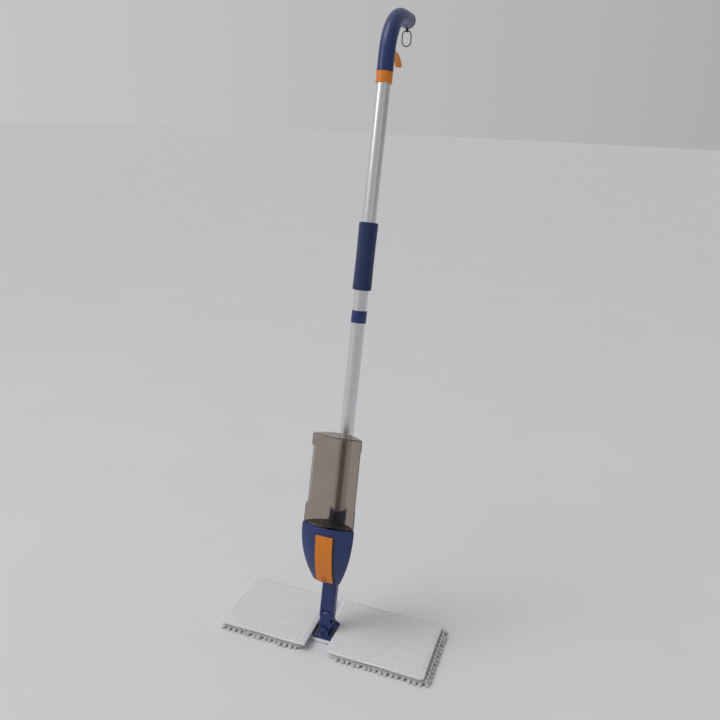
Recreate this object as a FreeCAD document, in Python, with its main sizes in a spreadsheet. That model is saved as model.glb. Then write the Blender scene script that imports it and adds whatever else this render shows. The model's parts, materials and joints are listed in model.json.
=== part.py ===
import FreeCAD
import Part
import Sketcher
import math
import os
import re
from FreeCAD import Placement, Rotation, Vector

# Flat spray mop: cane handle with trigger, two-piece tube, tank, pump housing and folding head.
# Everything on the pole is drawn upright, with the tilt pin at 0, 0, 0, +Z up the pole and -Y to the
# front, and is then leaned back by one placement. Everything on the head is drawn where it stands.

SIZES = (
    ("lean", 11.6, "pole's lean at rest, degrees"),
    ("pivot_height", 51.0, "tilt pin above the floor"),
    ("past", 5.0, "how far a cut runs past the piece"),
    ("through", 100.0, "depth of cuts and holes that go right through"),
    ("tube_radius", 12.5, "outside of the pole tubes"),
    ("tube_wall", 1.0, "wall of the pole tubes"),
    ("fit_gap", 0.1, "gap between fixed pieces that slip together"),
    ("run_gap", 0.05, "radial clearance of pins and pistons"),
    ("free_gap", 0.4, "gap between pieces that move past each other"),
    ("lower_tube_end", 14.0, "bottom of the lower tube above the pump"),
    ("tube_meeting", 581.5, "where the two tubes meet"),
    ("upper_tube_end", 449.5, "top of the upper tube, above where the tubes meet"),
    ("sleeve_half", 40.0, "half length of the sleeve inside the tubes"),
    ("sleeve_wall", 1.9, "wall of the inside sleeve"),
    ("connector_low", -11.0, "bottom of the connector ring, from where the tubes meet"),
    ("connector_high", 11.5, "top of the connector ring, from where the tubes meet"),
    ("connector_radius", 1.5, "connector ring's thickness outside the tube"),
    ("foam_low", 48.5, "bottom of the foam grip, above where the tubes meet"),
    ("foam_high", 121.0, "length of the foam grip"),
    ("foam_radius", 4.75, "foam grip's thickness outside the tube"),
    ("collar_low", -41.5, "bottom of the handle collar, from the top of the tube"),
    ("handle_low", -22.0, "bottom of the handle shells, from the top of the tube"),
    ("handle_radius", 2.0, "handle's thickness outside the tube"),
    ("crook_start", 11.0, "where the handle starts to bend, above the top of the tube"),
    ("crook_radius", 80.0, "bend of the handle's centreline"),
    ("crook_angle", 80.0, "turn of the handle, degrees"),
    ("crook_tail", 34.0, "straight end of the handle, past its bend"),
    ("trim_round", 0.6, "rounding of collars and rings"),
    ("foam_round", 2.5, "rounding of the foam grip's ends"),
    ("cap_length", 9.0, "end cap beyond the shells"),
    ("cap_tenon", 10.0, "end cap inside the shells"),
    ("cap_nose", 4.0, "rounding of the end cap"),
    ("lug_half", 2.0, "half width of the loop's lug"),
    ("lug_drop", 5.5, "lug below the end cap"),
    ("lug_root", 6.0, "lug inside the end cap"),
    ("lug_edge", 2.6, "middle of the lug's hole above its lower edge"),
    ("loop_slack", 0.5, "room round the loop's wire in the lug"),
    ("loop_half", 8.5, "half width of the hanging loop, to its wire's middle"),
    ("loop_straight", 10.0, "straight sides of the hanging loop"),
    ("loop_wire", 1.0, "radius of the loop's wire"),
    ("trigger_pivot_y", 6.0, "trigger pin behind the pole's axis"),
    ("trigger_pivot_z", 14.0, "trigger pin above the start of the bend"),
    ("trigger_pin_radius", 2.0, "trigger pin"),
    ("trigger_hub", 5.6, "trigger hub radius"),
    ("trigger_flat", 0.6, "flat left between the lever's rounded edges"),
    ("arm_half", 4.0, "half width of the trigger's arm"),
    ("arm_nose", 3.0, "half length of the arm's foot"),
    ("arm_rise", 6.0, "height of the arm at its front"),
    ("arm_gap", 0.8, "arm above the push rod at rest"),
    ("trigger_half", 6.0, "half width of the trigger"),
    ("trigger_thick", 6.0, "thickness of the trigger's lever"),
    ("trigger_height", 9.0, "lever's centreline above the start of the bend"),
    ("trigger_run", 46.0, "where the lever starts to curve down"),
    ("trigger_bend", 45.0, "radius of that curve"),
    ("trigger_turn", 45.0, "turn of that curve, degrees"),
    ("slot_low", 4.5, "bottom of the trigger's slot above the start of the bend"),
    ("slot_high", 18.5, "top of the trigger's slot above the start of the bend"),
    ("rod_y", -5.0, "push rod's place across the tube"),
    ("rod_radius", 2.5, "push rod"),
    ("rod_top", 2.0, "top of the push rod above the start of the bend"),
    ("rod_foot", 14.5, "bottom of the push rod above the pump"),
    ("rod_meeting", -20.5, "where the two rods meet, from where the tubes meet"),
    ("coupler_half", 16.0, "half length of the rod coupler"),
    ("coupler_wall", 1.4, "wall of the rod coupler"),
    ("button_radius", 4.5, "disc on the rod's top"),
    ("button_thick", 2.0, "thickness of that disc"),
    ("handle_screw_sunk", 1.2, "handle screws below the handle's sides"),
    ("handle_screw_head", 2.0, "thickness of the handle screws' heads"),
    ("neck_half", 14.2, "half width of the neck"),
    ("neck_deep", 10.0, "half depth of the neck, and its end radius"),
    ("neck_corner", 4.5, "rounding of the neck's long edges"),
    ("neck_top", 13.0, "top of the neck above the bottom of the housing"),
    ("tongue_half", 8.7, "half width of the link's tongue"),
    ("tongue_radius", 9.5, "barrel round the tilt pin"),
    ("tilt_pin_radius", 4.0, "tilt pin"),
    ("fork_top", 11.0, "top of the slot in the neck's fork"),
    ("house_low", 79.0, "bottom of the housing"),
    ("house_high", 196.0, "top of the housing"),
    ("house_wall", 2.2, "wall of the housing"),
    ("house_half_low", 26.0, "half width of the housing's bottom"),
    ("house_half_high", 50.5, "half width of the housing's top"),
    ("house_belly", 7.25, "how much wider it is halfway up than a straight taper"),
    ("house_edge_low", -27.0, "widest line of the housing's bottom"),
    ("house_edge_high", -50.5, "widest line of the housing's top"),
    ("house_edge_belly", 6.8, "how much further forward that line is halfway up"),
    ("house_back", -17.0, "back of the housing's lens"),
    ("panel_centre_y", 146.5, "centre of the front's side curve"),
    ("panel_centre_z", 188.8, "centre of the front's side curve"),
    ("panel_radius", 213.2, "radius of the panel's outer face"),
    ("panel_proud", 1.8, "panel's face in front of the housing"),
    ("panel_thick", 3.0, "thickness of the panel"),
    ("panel_half", 16.5, "half width of the panel"),
    ("panel_low", 4.0, "bottom of the panel above the bottom of the housing"),
    ("panel_high", -14.0, "top of the panel, from the top of the housing"),
    ("spine_radius", 3.9, "thickness of the socket round the tube and neck"),
    ("spine_high", 18.0, "top of that socket, above the housing"),
    ("spine_reach", -30.0, "front of the web between socket and housing"),
    ("parting_low", -24.0, "parting line at the bottom"),
    ("parting_high", -48.0, "parting line at the top"),
    ("boss_x", 30.0, "housing screws from the middle"),
    ("boss_z", -46.0, "housing screws, from the top of the housing"),
    ("boss_radius", 3.6, "screw bosses"),
    ("boss_back", 34.0, "back of the screw bosses in front of the pole's axis"),
    ("boss_long", 21.0, "length of the screw bosses"),
    ("screw_radius", 1.5, "screw shanks"),
    ("screw_long", 18.0, "length of the housing screws' shanks"),
    ("screw_head", 2.9, "screw heads"),
    ("screw_head_thick", 3.0, "thickness of the housing screws' heads"),
    ("window_half", 9.0, "half width of the opening for the hoses"),
    ("window_up", 4.0, "that opening above the neck"),
    ("nozzle_z", 11.0, "nozzle above the bottom of the housing"),
    ("nozzle_radius", 3.2, "nozzle"),
    ("nozzle_tilt", 27.0, "nozzle's axis below square, degrees"),
    ("nozzle_room", 1.4, "room round the nozzle"),
    ("nozzle_body", 4.0, "nozzle behind the panel's face"),
    ("nozzle_barb", 9.0, "end of the nozzle's barb behind that face"),
    ("nozzle_lip", 0.6, "nozzle's rim in front of that face"),
    ("nozzle_dome", 1.4, "nozzle's tip in front of that face"),
    ("jet", 0.4, "radius of the jet"),
    ("pump_radius", 7.4, "pump cylinder"),
    ("pump_bore", 5.0, "pump's bore"),
    ("pump_low", 15.0, "bottom of the pump above the bottom of the housing"),
    ("pump_high", 44.0, "length of the pump"),
    ("pump_floor", 4.0, "floor of the pump"),
    ("piston_low", 24.0, "bottom of the piston above the bottom of the pump"),
    ("piston_long", 8.0, "length of the piston"),
    ("piston_stem", 2.6, "piston's stem"),
    ("piston_disc", 6.0, "disc between the rod and the spring"),
    ("piston_disc_thick", 2.5, "thickness of that disc"),
    ("spring_wire", 0.6, "wire radius of the pump's spring"),
    ("fine_wire", 0.35, "wire radius of the small springs"),
    ("spring_gap", 0.2, "room at the ends of the springs"),
    ("spring_radius", 4.2, "pump's spring, to the wire's middle"),
    ("fine_radius", 2.8, "small springs, to the wire's middle"),
    ("fine_length", 2.3, "length of the trigger's spring"),
    ("hose_radius", 2.6, "outside of the hoses"),
    ("hose_bore", 1.5, "bore of the hoses"),
    ("hose_x", 4.0, "hoses from the middle"),
    ("hose_bend", 9.0, "bend of the hoses"),
    ("inlet_level", 6.0, "inlet hose's way into the pump, above the pump's bottom"),
    ("outlet_level", 18.0, "outlet hose's way out of the pump, above the pump's bottom"),
    ("outlet_drop", 6.0, "straight length of the outlet hose"),
    ("outlet_front", -34.0, "outlet hose's front end"),
    ("tank_low", 1.0, "bottom of the tank above the housing"),
    ("tank_high", 170.0, "height of the tank"),
    ("tank_half_low", -0.5, "half width of the tank's bottom, from the housing's"),
    ("tank_half_high", -1.7, "half width of the tank's top, from its bottom's"),
    ("tank_front_low", -63.0, "front of the tank at its bottom"),
    ("tank_front_high", -61.5, "front of the tank at its top"),
    ("tank_edge", -50.5, "widest line of the tank"),
    ("tank_back", -20.0, "back of the tank"),
    ("tank_wall", 1.8, "wall of the tank"),
    ("mouth_y", -41.0, "tank mouth in front of the pole's axis"),
    ("mouth_radius", 11.0, "tank mouth"),
    ("mouth_low", -10.0, "end of the tank mouth, from the top of the housing"),
    ("cap_radius", 13.6, "tank cap"),
    ("cap_low", -15.0, "bottom of the tank cap, from the top of the housing"),
    ("cap_floor", 2.0, "floor of the tank cap"),
    ("seal_width", 2.8, "width of the tank's seal"),
    ("dock_low", -8.0, "underside of the dock plate, from the top of the housing"),
    ("dock_thick", 4.0, "dock plate"),
    ("well_low", -26.0, "bottom of the dock's well, from the top of the housing"),
    ("well_wall", 1.8, "wall of the dock's well"),
    ("well_floor", 2.0, "floor of the dock's well"),
    ("stem_radius", 2.6, "valve stem"),
    ("stem_drop", 6.0, "valve stem below the tank cap"),
    ("stem_disc", 6.0, "valve's disc inside the cap"),
    ("stem_disc_thick", 2.0, "thickness of that disc"),
    ("link_half", 14.2, "half width of the link"),
    ("link_deep", 10.0, "half depth of the link"),
    ("link_top", -11.0, "shoulder of the link, from the tilt pin"),
    ("roll_height", 17.0, "roll pin above the floor"),
    ("roll_pin_radius", 3.0, "roll pin"),
    ("knuckle_radius", 8.0, "link's round foot and the ears beside it"),
    ("flank_low", 6.0, "start of the link's flanks above the roll pin"),
    ("flank_high", 15.0, "end of the link's flanks above the roll pin"),
    ("ear_thick", 5.0, "ears of the base"),
    ("head_middle", 14.0, "middle of the head, front to back"),
    ("base_half", 21.5, "half width of the base"),
    ("base_deep", 33.0, "half depth of the base"),
    ("base_low", 6.0, "underside of the base"),
    ("base_thick", 4.0, "thickness of the base"),
    ("base_corner", 4.0, "rounding of the base's corners"),
    ("hinge_x", 4.5, "wing pins outside the base's edges"),
    ("hinge_height", 3.5, "wing pins above the underside of the base"),
    ("hinge_radius", 3.4, "wing knuckles"),
    ("hinge_pin", 1.6, "wing pins"),
    ("knuckle_middle", 10.0, "middle one of the base's wing knuckles"),
    ("knuckle_pitch", 22.0, "spacing of those knuckles"),
    ("knuckle_long", 8.0, "length of each of them"),
    ("knuckle_gap", 0.6, "gap between them and the wings' own"),
    ("knuckle_root", 2.0, "arms of the knuckles inside the plates"),
    ("wing_end", 196.0, "outer end of the wings"),
    ("wing_inner", 4.0, "inner edge of the wings, from their pins"),
    ("wing_deep", 58.0, "half depth of the wings"),
    ("wing_low", 3.2, "underside of the wings above the underside of the base"),
    ("wing_thick", 4.6, "thickness of the wings"),
    ("wing_corner", 10.0, "rounding of the wings' corners"),
    ("pad_left_end", -8.0, "outer end of the left pad half, from the wing's end"),
    ("pad_right_end", 24.0, "outer end of the right pad half, from the wing's end"),
    ("pad_inner", 5.5, "inner edge of the pad halves, from the wing pins"),
    ("pad_middle", 18.0, "middle of the pad, front to back"),
    ("pad_deep", 20.0, "half depth of the pad, from the wings'"),
    ("pad_top", 18.0, "top of the pad"),
    ("pad_corner", 14.0, "rounding of the pad's corners"),
    ("pad_slack", 0.4, "room in the pocket round the wing"),
    ("strip_half", -9.5, "half width of the pad's middle strip, from the wing pins"),
    ("strip_deep", 43.0, "half depth of the middle strip"),
    ("strip_thick", -0.3, "top of the middle strip, from the underside of the base"),
    ("strip_corner", 3.0, "rounding of the strip's corners"),
    ("latch_middle", -10.0, "middle of the latch pedal, across the base"),
    ("latch_half", 8.0, "half width of the latch pedal"),
    ("latch_deep", 8.0, "depth of the latch pedal"),
    ("latch_travel", 2.5, "travel of the latch pedal"),
    ("latch_inset", 3.0, "latch pedal inside the base's back edge"),
    ("latch_thick", 3.0, "thickness of the latch pedal"),
    ("latch_corner", 1.0, "rounding of the pedal's corners"),
)

# A size named here is counted from another one, so pieces that meet stay together when a size changes
COUNTED_FROM = {
    "upper_tube_end": "tube_meeting",
    "connector_low": "tube_meeting",
    "connector_high": "tube_meeting",
    "connector_radius": "tube_radius",
    "foam_low": "tube_meeting",
    "foam_high": "foam_low",
    "foam_radius": "tube_radius",
    "collar_low": "upper_tube_end",
    "handle_low": "upper_tube_end",
    "handle_radius": "tube_radius",
    "crook_start": "upper_tube_end",
    "trigger_pivot_z": "crook_start",
    "trigger_height": "crook_start",
    "slot_low": "crook_start",
    "slot_high": "crook_start",
    "rod_top": "crook_start",
    "rod_foot": "pump_high",
    "rod_meeting": "tube_meeting",
    "lower_tube_end": "pump_high",
    "neck_top": "house_low",
    "panel_low": "house_low",
    "panel_high": "house_high",
    "spine_radius": "tube_radius",
    "spine_high": "house_high",
    "boss_z": "house_high",
    "nozzle_z": "house_low",
    "pump_low": "house_low",
    "pump_high": "pump_low",
    "piston_low": "pump_low",
    "inlet_level": "pump_low",
    "outlet_level": "pump_low",
    "tank_low": "house_high",
    "tank_high": "tank_low",
    "tank_half_low": "house_half_high",
    "tank_half_high": "tank_half_low",
    "mouth_low": "house_high",
    "cap_low": "house_high",
    "dock_low": "house_high",
    "well_low": "house_high",
    "link_top": "pivot_height",
    "hinge_x": "base_half",
    "hinge_height": "base_low",
    "wing_low": "base_low",
    "wing_inner": "hinge_x",
    "pad_inner": "hinge_x",
    "pad_left_end": "-wing_end",
    "pad_right_end": "wing_end",
    "pad_deep": "wing_deep",
    "strip_half": "hinge_x",
    "strip_thick": "base_low",
}

doc = FreeCAD.newDocument("flat_spray_mop")
sheet = doc.addObject("Spreadsheet::Sheet", "Sizes")
for row, (alias, value, note) in enumerate(SIZES, start=1):
    sheet.set(f"A{row}", note)
    sheet.set(f"B{row}", str(value))
    sheet.setAlias(f"B{row}", alias)
doc.recompute()

NAMES = {alias for alias, value, note in SIZES}
FRONT_CURVE = "panel_centre_y - sqrt((panel_radius - panel_proud)^2 - (({z}) - panel_centre_z)^2)"
LENS_SQUEEZE = 1.2   # a lens shrinks this much more at its corners than on its faces
SUBPARTS = []


def spelled(word):
    """One word of an expression, as an object outside the sheet needs it."""
    if word in COUNTED_FROM:
        return f"({bound(COUNTED_FROM[word])} + Sizes.{word})"
    return f"Sizes.{word}" if word in NAMES else word


def bound(text):
    """An expression in the sheet's words, with the sheet and what each size is counted from."""
    return re.sub(r"[a-z_]+", lambda word: spelled(word.group()), str(text))


def size(text):
    """The value of an expression in the sheet's words."""
    answer = sheet.evalExpression(bound(text))
    return float(getattr(answer, "Value", answer))


def bind(thing, **expressions):
    for name, text in expressions.items():
        thing.setExpression(name, bound(text))
    return thing


def keep(thing, label, placement=None):
    """Name a finished sub-part and put it in its place."""
    thing.Label = label
    if placement is not None:
        thing.Placement = placement.multiply(thing.Placement)
    SUBPARTS.append(thing)
    return thing


def on_pole(offset=Vector(), rotation=Rotation()):
    """The pole's leaning frame, and a place in it."""
    leaning = Placement(Vector(0, 0, size("pivot_height")), Rotation(Vector(1, 0, 0), -size("lean")))
    return leaning.multiply(Placement(offset, rotation))


# Sketches and the features made from them

def new_body(name):
    return doc.addObject("PartDesign::Body", f"{name}_body")


def new_sketch(body, name, role="XY_Plane", lift="0"):
    sketch = body.newObject("Sketcher::SketchObject", name)
    plane = next(item for item in body.Origin.OriginFeatures if item.Role == role)
    sketch.AttachmentSupport = [(plane, "")]
    sketch.MapMode = "FlatFace"
    sketch.setExpression("AttachmentOffset.Base.z", bound(lift))
    return sketch


def measure(sketch, kind, *items):
    """Add a dimension whose value is an expression."""
    text = items[-1]
    index = sketch.addConstraint(Sketcher.Constraint(kind, *items[:-1], size(text)))
    sketch.setExpression(f"Constraints[{index}]", bound(text))


def pin_point(sketch, geometry, corner, across, along):
    measure(sketch, "DistanceX", -1, 1, geometry, corner, across)
    measure(sketch, "DistanceY", -1, 1, geometry, corner, along)


def add_circle(sketch, across, along, radius):
    middle = Vector(size(across), size(along), 0)
    index = sketch.addGeometry(Part.Circle(middle, Vector(0, 0, 1), size(radius)), False)
    pin_point(sketch, index, 3, across, along)
    measure(sketch, "Radius", index, radius)


def add_polygon(sketch, corners):
    points = [Vector(size(across), size(along), 0) for across, along in corners]
    first = sketch.GeometryCount
    for start, end in zip(points, points[1:] + points[:1]):
        sketch.addGeometry(Part.LineSegment(start, end), False)
    for step, (across, along) in enumerate(corners):
        following = first + (step + 1) % len(corners)
        sketch.addConstraint(Sketcher.Constraint("Coincident", first + step, 2, following, 1))
        pin_point(sketch, first + step, 1, across, along)


def add_rectangle(sketch, left, low, right, high):
    add_polygon(sketch, [(left, low), (right, low), (right, high), (left, high)])


def add_lens(sketch, half, edge, front, back):
    """Two arcs that meet at the widest line: a flat front and a rounder back."""
    left = Vector(-size(half), size(edge), 0)
    right = Vector(size(half), size(edge), 0)
    ahead = sketch.addGeometry(Part.Arc(left, Vector(0, size(front), 0), right), False)
    behind = sketch.addGeometry(Part.Arc(right, Vector(0, size(back), 0), left), False)
    sketch.addConstraint(Sketcher.Constraint("Coincident", ahead, 2, behind, 1))
    sketch.addConstraint(Sketcher.Constraint("Coincident", behind, 2, ahead, 1))
    pin_point(sketch, ahead, 1, f"-({half})", edge)
    pin_point(sketch, ahead, 2, half, edge)
    for index, rise in ((ahead, f"(({edge}) - ({front}))"), (behind, f"(({back}) - ({edge}))")):
        measure(sketch, "Radius", index, f"(({half})^2 + {rise}^2) / (2 * {rise})")


def add_path(sketch, start, straight, radius, turn, end_length="0"):
    """A line up from start, an arc of a given turn to +x, and a line on from it."""
    across, low = start
    bend = f"({low}) + ({straight})"
    foot = Vector(size(across), size(low), 0)
    knee = Vector(size(across), size(bend), 0)
    angle = math.radians(size(turn))
    line = sketch.addGeometry(Part.LineSegment(foot, knee), False)
    middle = knee + Vector(size(radius), 0, 0)
    circle = Part.Circle(middle, Vector(0, 0, 1), size(radius))
    arc = sketch.addGeometry(Part.ArcOfCircle(circle, math.pi - angle, math.pi), False)
    pin_point(sketch, line, 1, across, low)
    pin_point(sketch, line, 2, across, bend)
    sketch.addConstraint(Sketcher.Constraint("Coincident", line, 2, arc, 2))
    pin_point(sketch, arc, 3, f"({across}) + ({radius})", bend)
    measure(sketch, "DistanceX", -1, 1, arc, 1, f"({across}) + ({radius}) * (1 - cos({turn}))")
    if size(end_length) > 0:
        tip = middle + Vector(-math.cos(angle), math.sin(angle), 0) * size(radius)
        on = tip + Vector(math.sin(angle), math.cos(angle), 0) * size(end_length)
        last = sketch.addGeometry(Part.LineSegment(tip, on), False)
        sketch.addConstraint(Sketcher.Constraint("Coincident", arc, 1, last, 1))
        pin_point(sketch, last, 2,
                  f"({across}) + ({radius}) * (1 - cos({turn})) + ({end_length}) * sin({turn})",
                  f"{bend} + ({radius}) * sin({turn}) + ({end_length}) * cos({turn})")


def feature(body, kind, sketch, length=None, both_ways=False, backwards=False):
    """A pad, pocket or revolution of a sketch. One that leaves the volume as it was is an error."""
    doc.recompute()
    before = body.Shape.Volume if body.Tip is not None and not body.Shape.isNull() else 0.0
    made = body.newObject(f"PartDesign::{kind}", f"{sketch.Name}_{kind.lower()}")
    made.Profile = sketch
    if length is not None:
        made.setExpression("Length", bound(length))
        made.SideType = "Symmetric" if both_ways else "One side"
        made.Reversed = backwards
    doc.recompute()
    if abs(made.Shape.Volume - before) < 1e-3:
        raise RuntimeError(f"{made.Name} changes nothing")
    return made


def spin(body, sketch, kind="Revolution"):
    """Turn a sketch on the XZ plane once round the body's Z axis."""
    made = body.newObject(f"PartDesign::{kind}", f"{sketch.Name}_turned")
    made.Profile = sketch
    made.ReferenceAxis = (sketch, ["V_Axis"])
    made.Angle = 360
    doc.recompute()
    return made


def loft(body, sketches, kind="AdditiveLoft"):
    made = body.newObject(f"PartDesign::{kind}", f"{sketches[0].Name}_loft")
    made.Profile = sketches[0]
    made.Sections = sketches[1:]
    doc.recompute()
    return made


def pipe(body, profile, spine, kind="AdditivePipe"):
    made = body.newObject(f"PartDesign::{kind}", f"{profile.Name}_pipe")
    made.Profile = profile
    made.Spine = spine
    doc.recompute()
    return made


def round_edges(body, radius, chooses):
    """Fillet the edges of the body's last feature that a test picks."""
    doc.recompute()
    tip = body.Tip
    picked = [f"Edge{number}" for number, edge in enumerate(tip.Shape.Edges, start=1) if chooses(edge)]
    made = body.newObject("PartDesign::Fillet", f"{tip.Name}_fillet")
    made.Base = (tip, picked)
    made.setExpression("Radius", bound(radius))
    doc.recompute()
    return made


def runs_along(direction):
    """Picks straight edges in one direction."""
    def chooses(edge):
        return (edge.Curve.TypeId == "Part::GeomLine"
                and abs(edge.tangentAt(edge.FirstParameter).dot(direction)) > 0.999)
    return chooses


# Pieces that many sub-parts share

def make_tube(label, low, high, outer, inner, across="0", along="0", placement=None, rounding=None):
    """A round tube or ring upright in the pole's frame, or a rod where inner is None."""
    body = new_body(label)
    section = new_sketch(body, f"{label}_section", lift=low)
    add_circle(section, across, along, outer)
    if inner is not None:
        add_circle(section, across, along, inner)
    feature(body, "Pad", section, f"({high}) - ({low})")
    if rounding is not None:
        wide = size(outer)
        round_edges(body, rounding, lambda edge: edge.Curve.TypeId == "Part::GeomCircle"
                    and abs(edge.Curve.Radius - wide) < 1e-6 and edge.isClosed())
    return keep(body, label, on_pole() if placement is None else placement)


def cylinder(name, radius, height, base, axis=Vector(0, 0, 1)):
    made = bind(doc.addObject("Part::Cylinder", name), Radius=radius, Height=height)
    made.Placement = Placement(base, Rotation(Vector(0, 0, 1), axis))
    return made


def fuse(name, pieces):
    made = doc.addObject("Part::MultiFuse", name)
    made.Shapes = pieces
    return made


def group(name, pieces):
    made = doc.addObject("Part::Compound", name)
    made.Links = pieces
    return made


def make_spring(label, radius, wire, length, turns, placement):
    """A coil of round wire that stands on the origin of its placement."""
    body = new_body(label)
    section = new_sketch(body, f"{label}_wire", "XZ_Plane")
    add_circle(section, radius, wire, wire)
    doc.recompute()
    coil = body.newObject("PartDesign::AdditiveHelix", f"{label}_coil")
    coil.Profile = section
    coil.ReferenceAxis = (section, ["V_Axis"])
    coil.Mode = "height-turns-angle"
    bind(coil, Height=f"({length}) - 2 * ({wire})")
    coil.Turns = turns
    return keep(body, label, placement)


# Handle

def crook_end():
    """Where the shells end, and the frame whose +Z runs on out of them."""
    angle = math.radians(size("crook_angle"))
    bend = size("crook_radius")
    straight = size("crook_tail")
    along = bend * (1 - math.cos(angle)) + straight * math.sin(angle)
    up = size("crook_start") + bend * math.sin(angle) + straight * math.cos(angle)
    return Vector(0, along, up), Rotation(Vector(1, 0, 0), -size("crook_angle"))


def on_crook(degrees):
    """A point of the handle's centreline, part of the way round its bend."""
    angle = math.radians(degrees)
    bend = size("crook_radius")
    return Vector(0, bend * (1 - math.cos(angle)), size("crook_start") + bend * math.sin(angle))


HANDLE_SCREWS = (24, 62)   # degrees round the bend


def make_handle_shell(label, side, hole):
    """Half of the hollow cane handle, split down its middle."""
    body = new_body(label)
    section = new_sketch(body, f"{label}_section", lift="handle_low")
    radii = ("handle_radius", "tube_radius + fit_gap")
    arcs = []
    for radius in radii:
        reach = size(radius)
        front, back = Vector(0, -reach, 0), Vector(0, reach, 0)
        ends = (front, back) if side > 0 else (back, front)
        arcs.append(section.addGeometry(Part.Arc(ends[0], Vector(side * reach, 0, 0), ends[1]), False))
    for arc, radius in zip(arcs, radii):
        section.addConstraint(Sketcher.Constraint("Coincident", arc, 3, -1, 1))
        measure(section, "Radius", arc, radius)
        section.addConstraint(Sketcher.Constraint("PointOnObject", arc, 1, -2))
        section.addConstraint(Sketcher.Constraint("PointOnObject", arc, 2, -2))
    for corner in (1, 2):
        points = [section.getPoint(arc, corner) for arc in arcs]
        line = section.addGeometry(Part.LineSegment(*points), False)
        section.addConstraint(Sketcher.Constraint("Coincident", arcs[0], corner, line, 1))
        section.addConstraint(Sketcher.Constraint("Coincident", arcs[1], corner, line, 2))
    spine = new_sketch(body, f"{label}_spine", "YZ_Plane")
    add_path(spine, ("0", "handle_low"), "crook_start - handle_low", "crook_radius", "crook_angle",
             "crook_tail")
    pipe(body, section, spine)
    slot = new_sketch(body, f"{label}_slot", "XZ_Plane")
    edge = f"{side} * (trigger_half + free_gap)"
    add_rectangle(slot, *(("0", "slot_low", edge, "slot_high") if side > 0
                          else (edge, "slot_low", "0", "slot_high")))
    feature(body, "Pocket", slot, "handle_radius + past", backwards=False)
    holes = new_sketch(body, f"{label}_holes", "YZ_Plane")
    for turn in HANDLE_SCREWS:
        add_circle(holes, f"crook_radius * (1 - cos({turn}))",
                   f"crook_start + crook_radius * sin({turn})", hole)
    add_circle(holes, "trigger_pivot_y", "trigger_pivot_z", "trigger_pin_radius")
    feature(body, "Pocket", holes, "handle_radius + past", backwards=side > 0)
    return keep(body, label, on_pole())


def make_end_cap():
    """Rounded cap with a tenon in the shells and a drilled lug underneath."""
    body = new_body("handle_end_cap")
    section = new_sketch(body, "cap_section", "XZ_Plane")
    add_polygon(section, [("0", "-cap_tenon"), ("tube_radius - 2 * fit_gap", "-cap_tenon"),
                          ("tube_radius - 2 * fit_gap", "0"), ("handle_radius", "0"),
                          ("handle_radius", "cap_length"), ("0", "cap_length")])
    spin(body, section)
    round_edges(body, "cap_nose", lambda edge: edge.Curve.TypeId == "Part::GeomCircle"
                and abs(edge.BoundBox.ZMax - size("cap_length")) < 1e-6
                and abs(edge.BoundBox.ZMin - size("cap_length")) < 1e-6)
    lug = new_sketch(body, "cap_lug", "YZ_Plane")
    add_rectangle(lug, "handle_radius - lug_root", "0", "handle_radius + lug_drop",
                  "cap_length - cap_nose")
    feature(body, "Pad", lug, "2 * lug_half", both_ways=True)
    hole = new_sketch(body, "cap_hole", "YZ_Plane")
    add_circle(hole, "handle_radius + lug_drop - lug_edge", "(cap_length - cap_nose) / 2",
               "loop_wire + loop_slack")
    feature(body, "Pocket", hole, "4 * lug_half", both_ways=True)
    place, turn = crook_end()
    return keep(body, "handle_end_cap", on_pole(place, turn))


def loop_hang():
    """The middle of the lug's hole, in the pole's frame."""
    place, turn = crook_end()
    return place + turn.multVec(Vector(0, size("handle_radius + lug_drop - lug_edge"),
                                       size("(cap_length - cap_nose) / 2")))


def make_loop():
    """Two half rings joined by straight sides. It hangs straight down from the lug."""
    halves = []
    for name, start, drop in (("loop_top", 0, "0"), ("loop_bottom", 180, "loop_straight")):
        half = bind(doc.addObject("Part::Torus", name), Radius1="loop_half", Radius2="loop_wire")
        half.Angle3 = 180
        upright = Rotation(Vector(1, 0, 0), 90)
        half.Placement = Placement(Vector(0, 0, -size("loop_half") - size(drop)),
                                   upright.multiply(Rotation(Vector(0, 0, 1), start)))
        halves.append(half)
    for side in (-1, 1):
        low = Vector(side * size("loop_half"), 0, -size("loop_half + loop_straight"))
        halves.append(cylinder(f"loop_side_{'left' if side < 0 else 'right'}", "loop_wire",
                               "loop_straight", low))
    ring = fuse("loop_ring", halves)
    doc.recompute()
    return keep(ring, "hanging_loop", Placement(on_pole().multVec(loop_hang()), Rotation()))


def make_handle_screws():
    """Two screws across the shells, with their heads in the right-hand shell."""
    screws = []
    reach = size("handle_radius - handle_screw_sunk")
    for number, turn in enumerate(HANDLE_SCREWS):
        spot = on_crook(turn)
        shank = cylinder(f"handle_shank_{number}", "screw_radius - fit_gap",
                         "2 * (handle_radius - handle_screw_sunk) - handle_screw_head",
                         spot + Vector(-reach, 0, 0), Vector(1, 0, 0))
        top = spot + Vector(reach - size("handle_screw_head"), 0, 0)
        head = cylinder(f"handle_head_{number}", "screw_head", "handle_screw_head", top, Vector(1, 0, 0))
        screws.append(fuse(f"handle_screw_{number}", [shank, head]))
    doc.recompute()
    return keep(group("handle_screw_group", screws), "handle_screws", on_pole())


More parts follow.
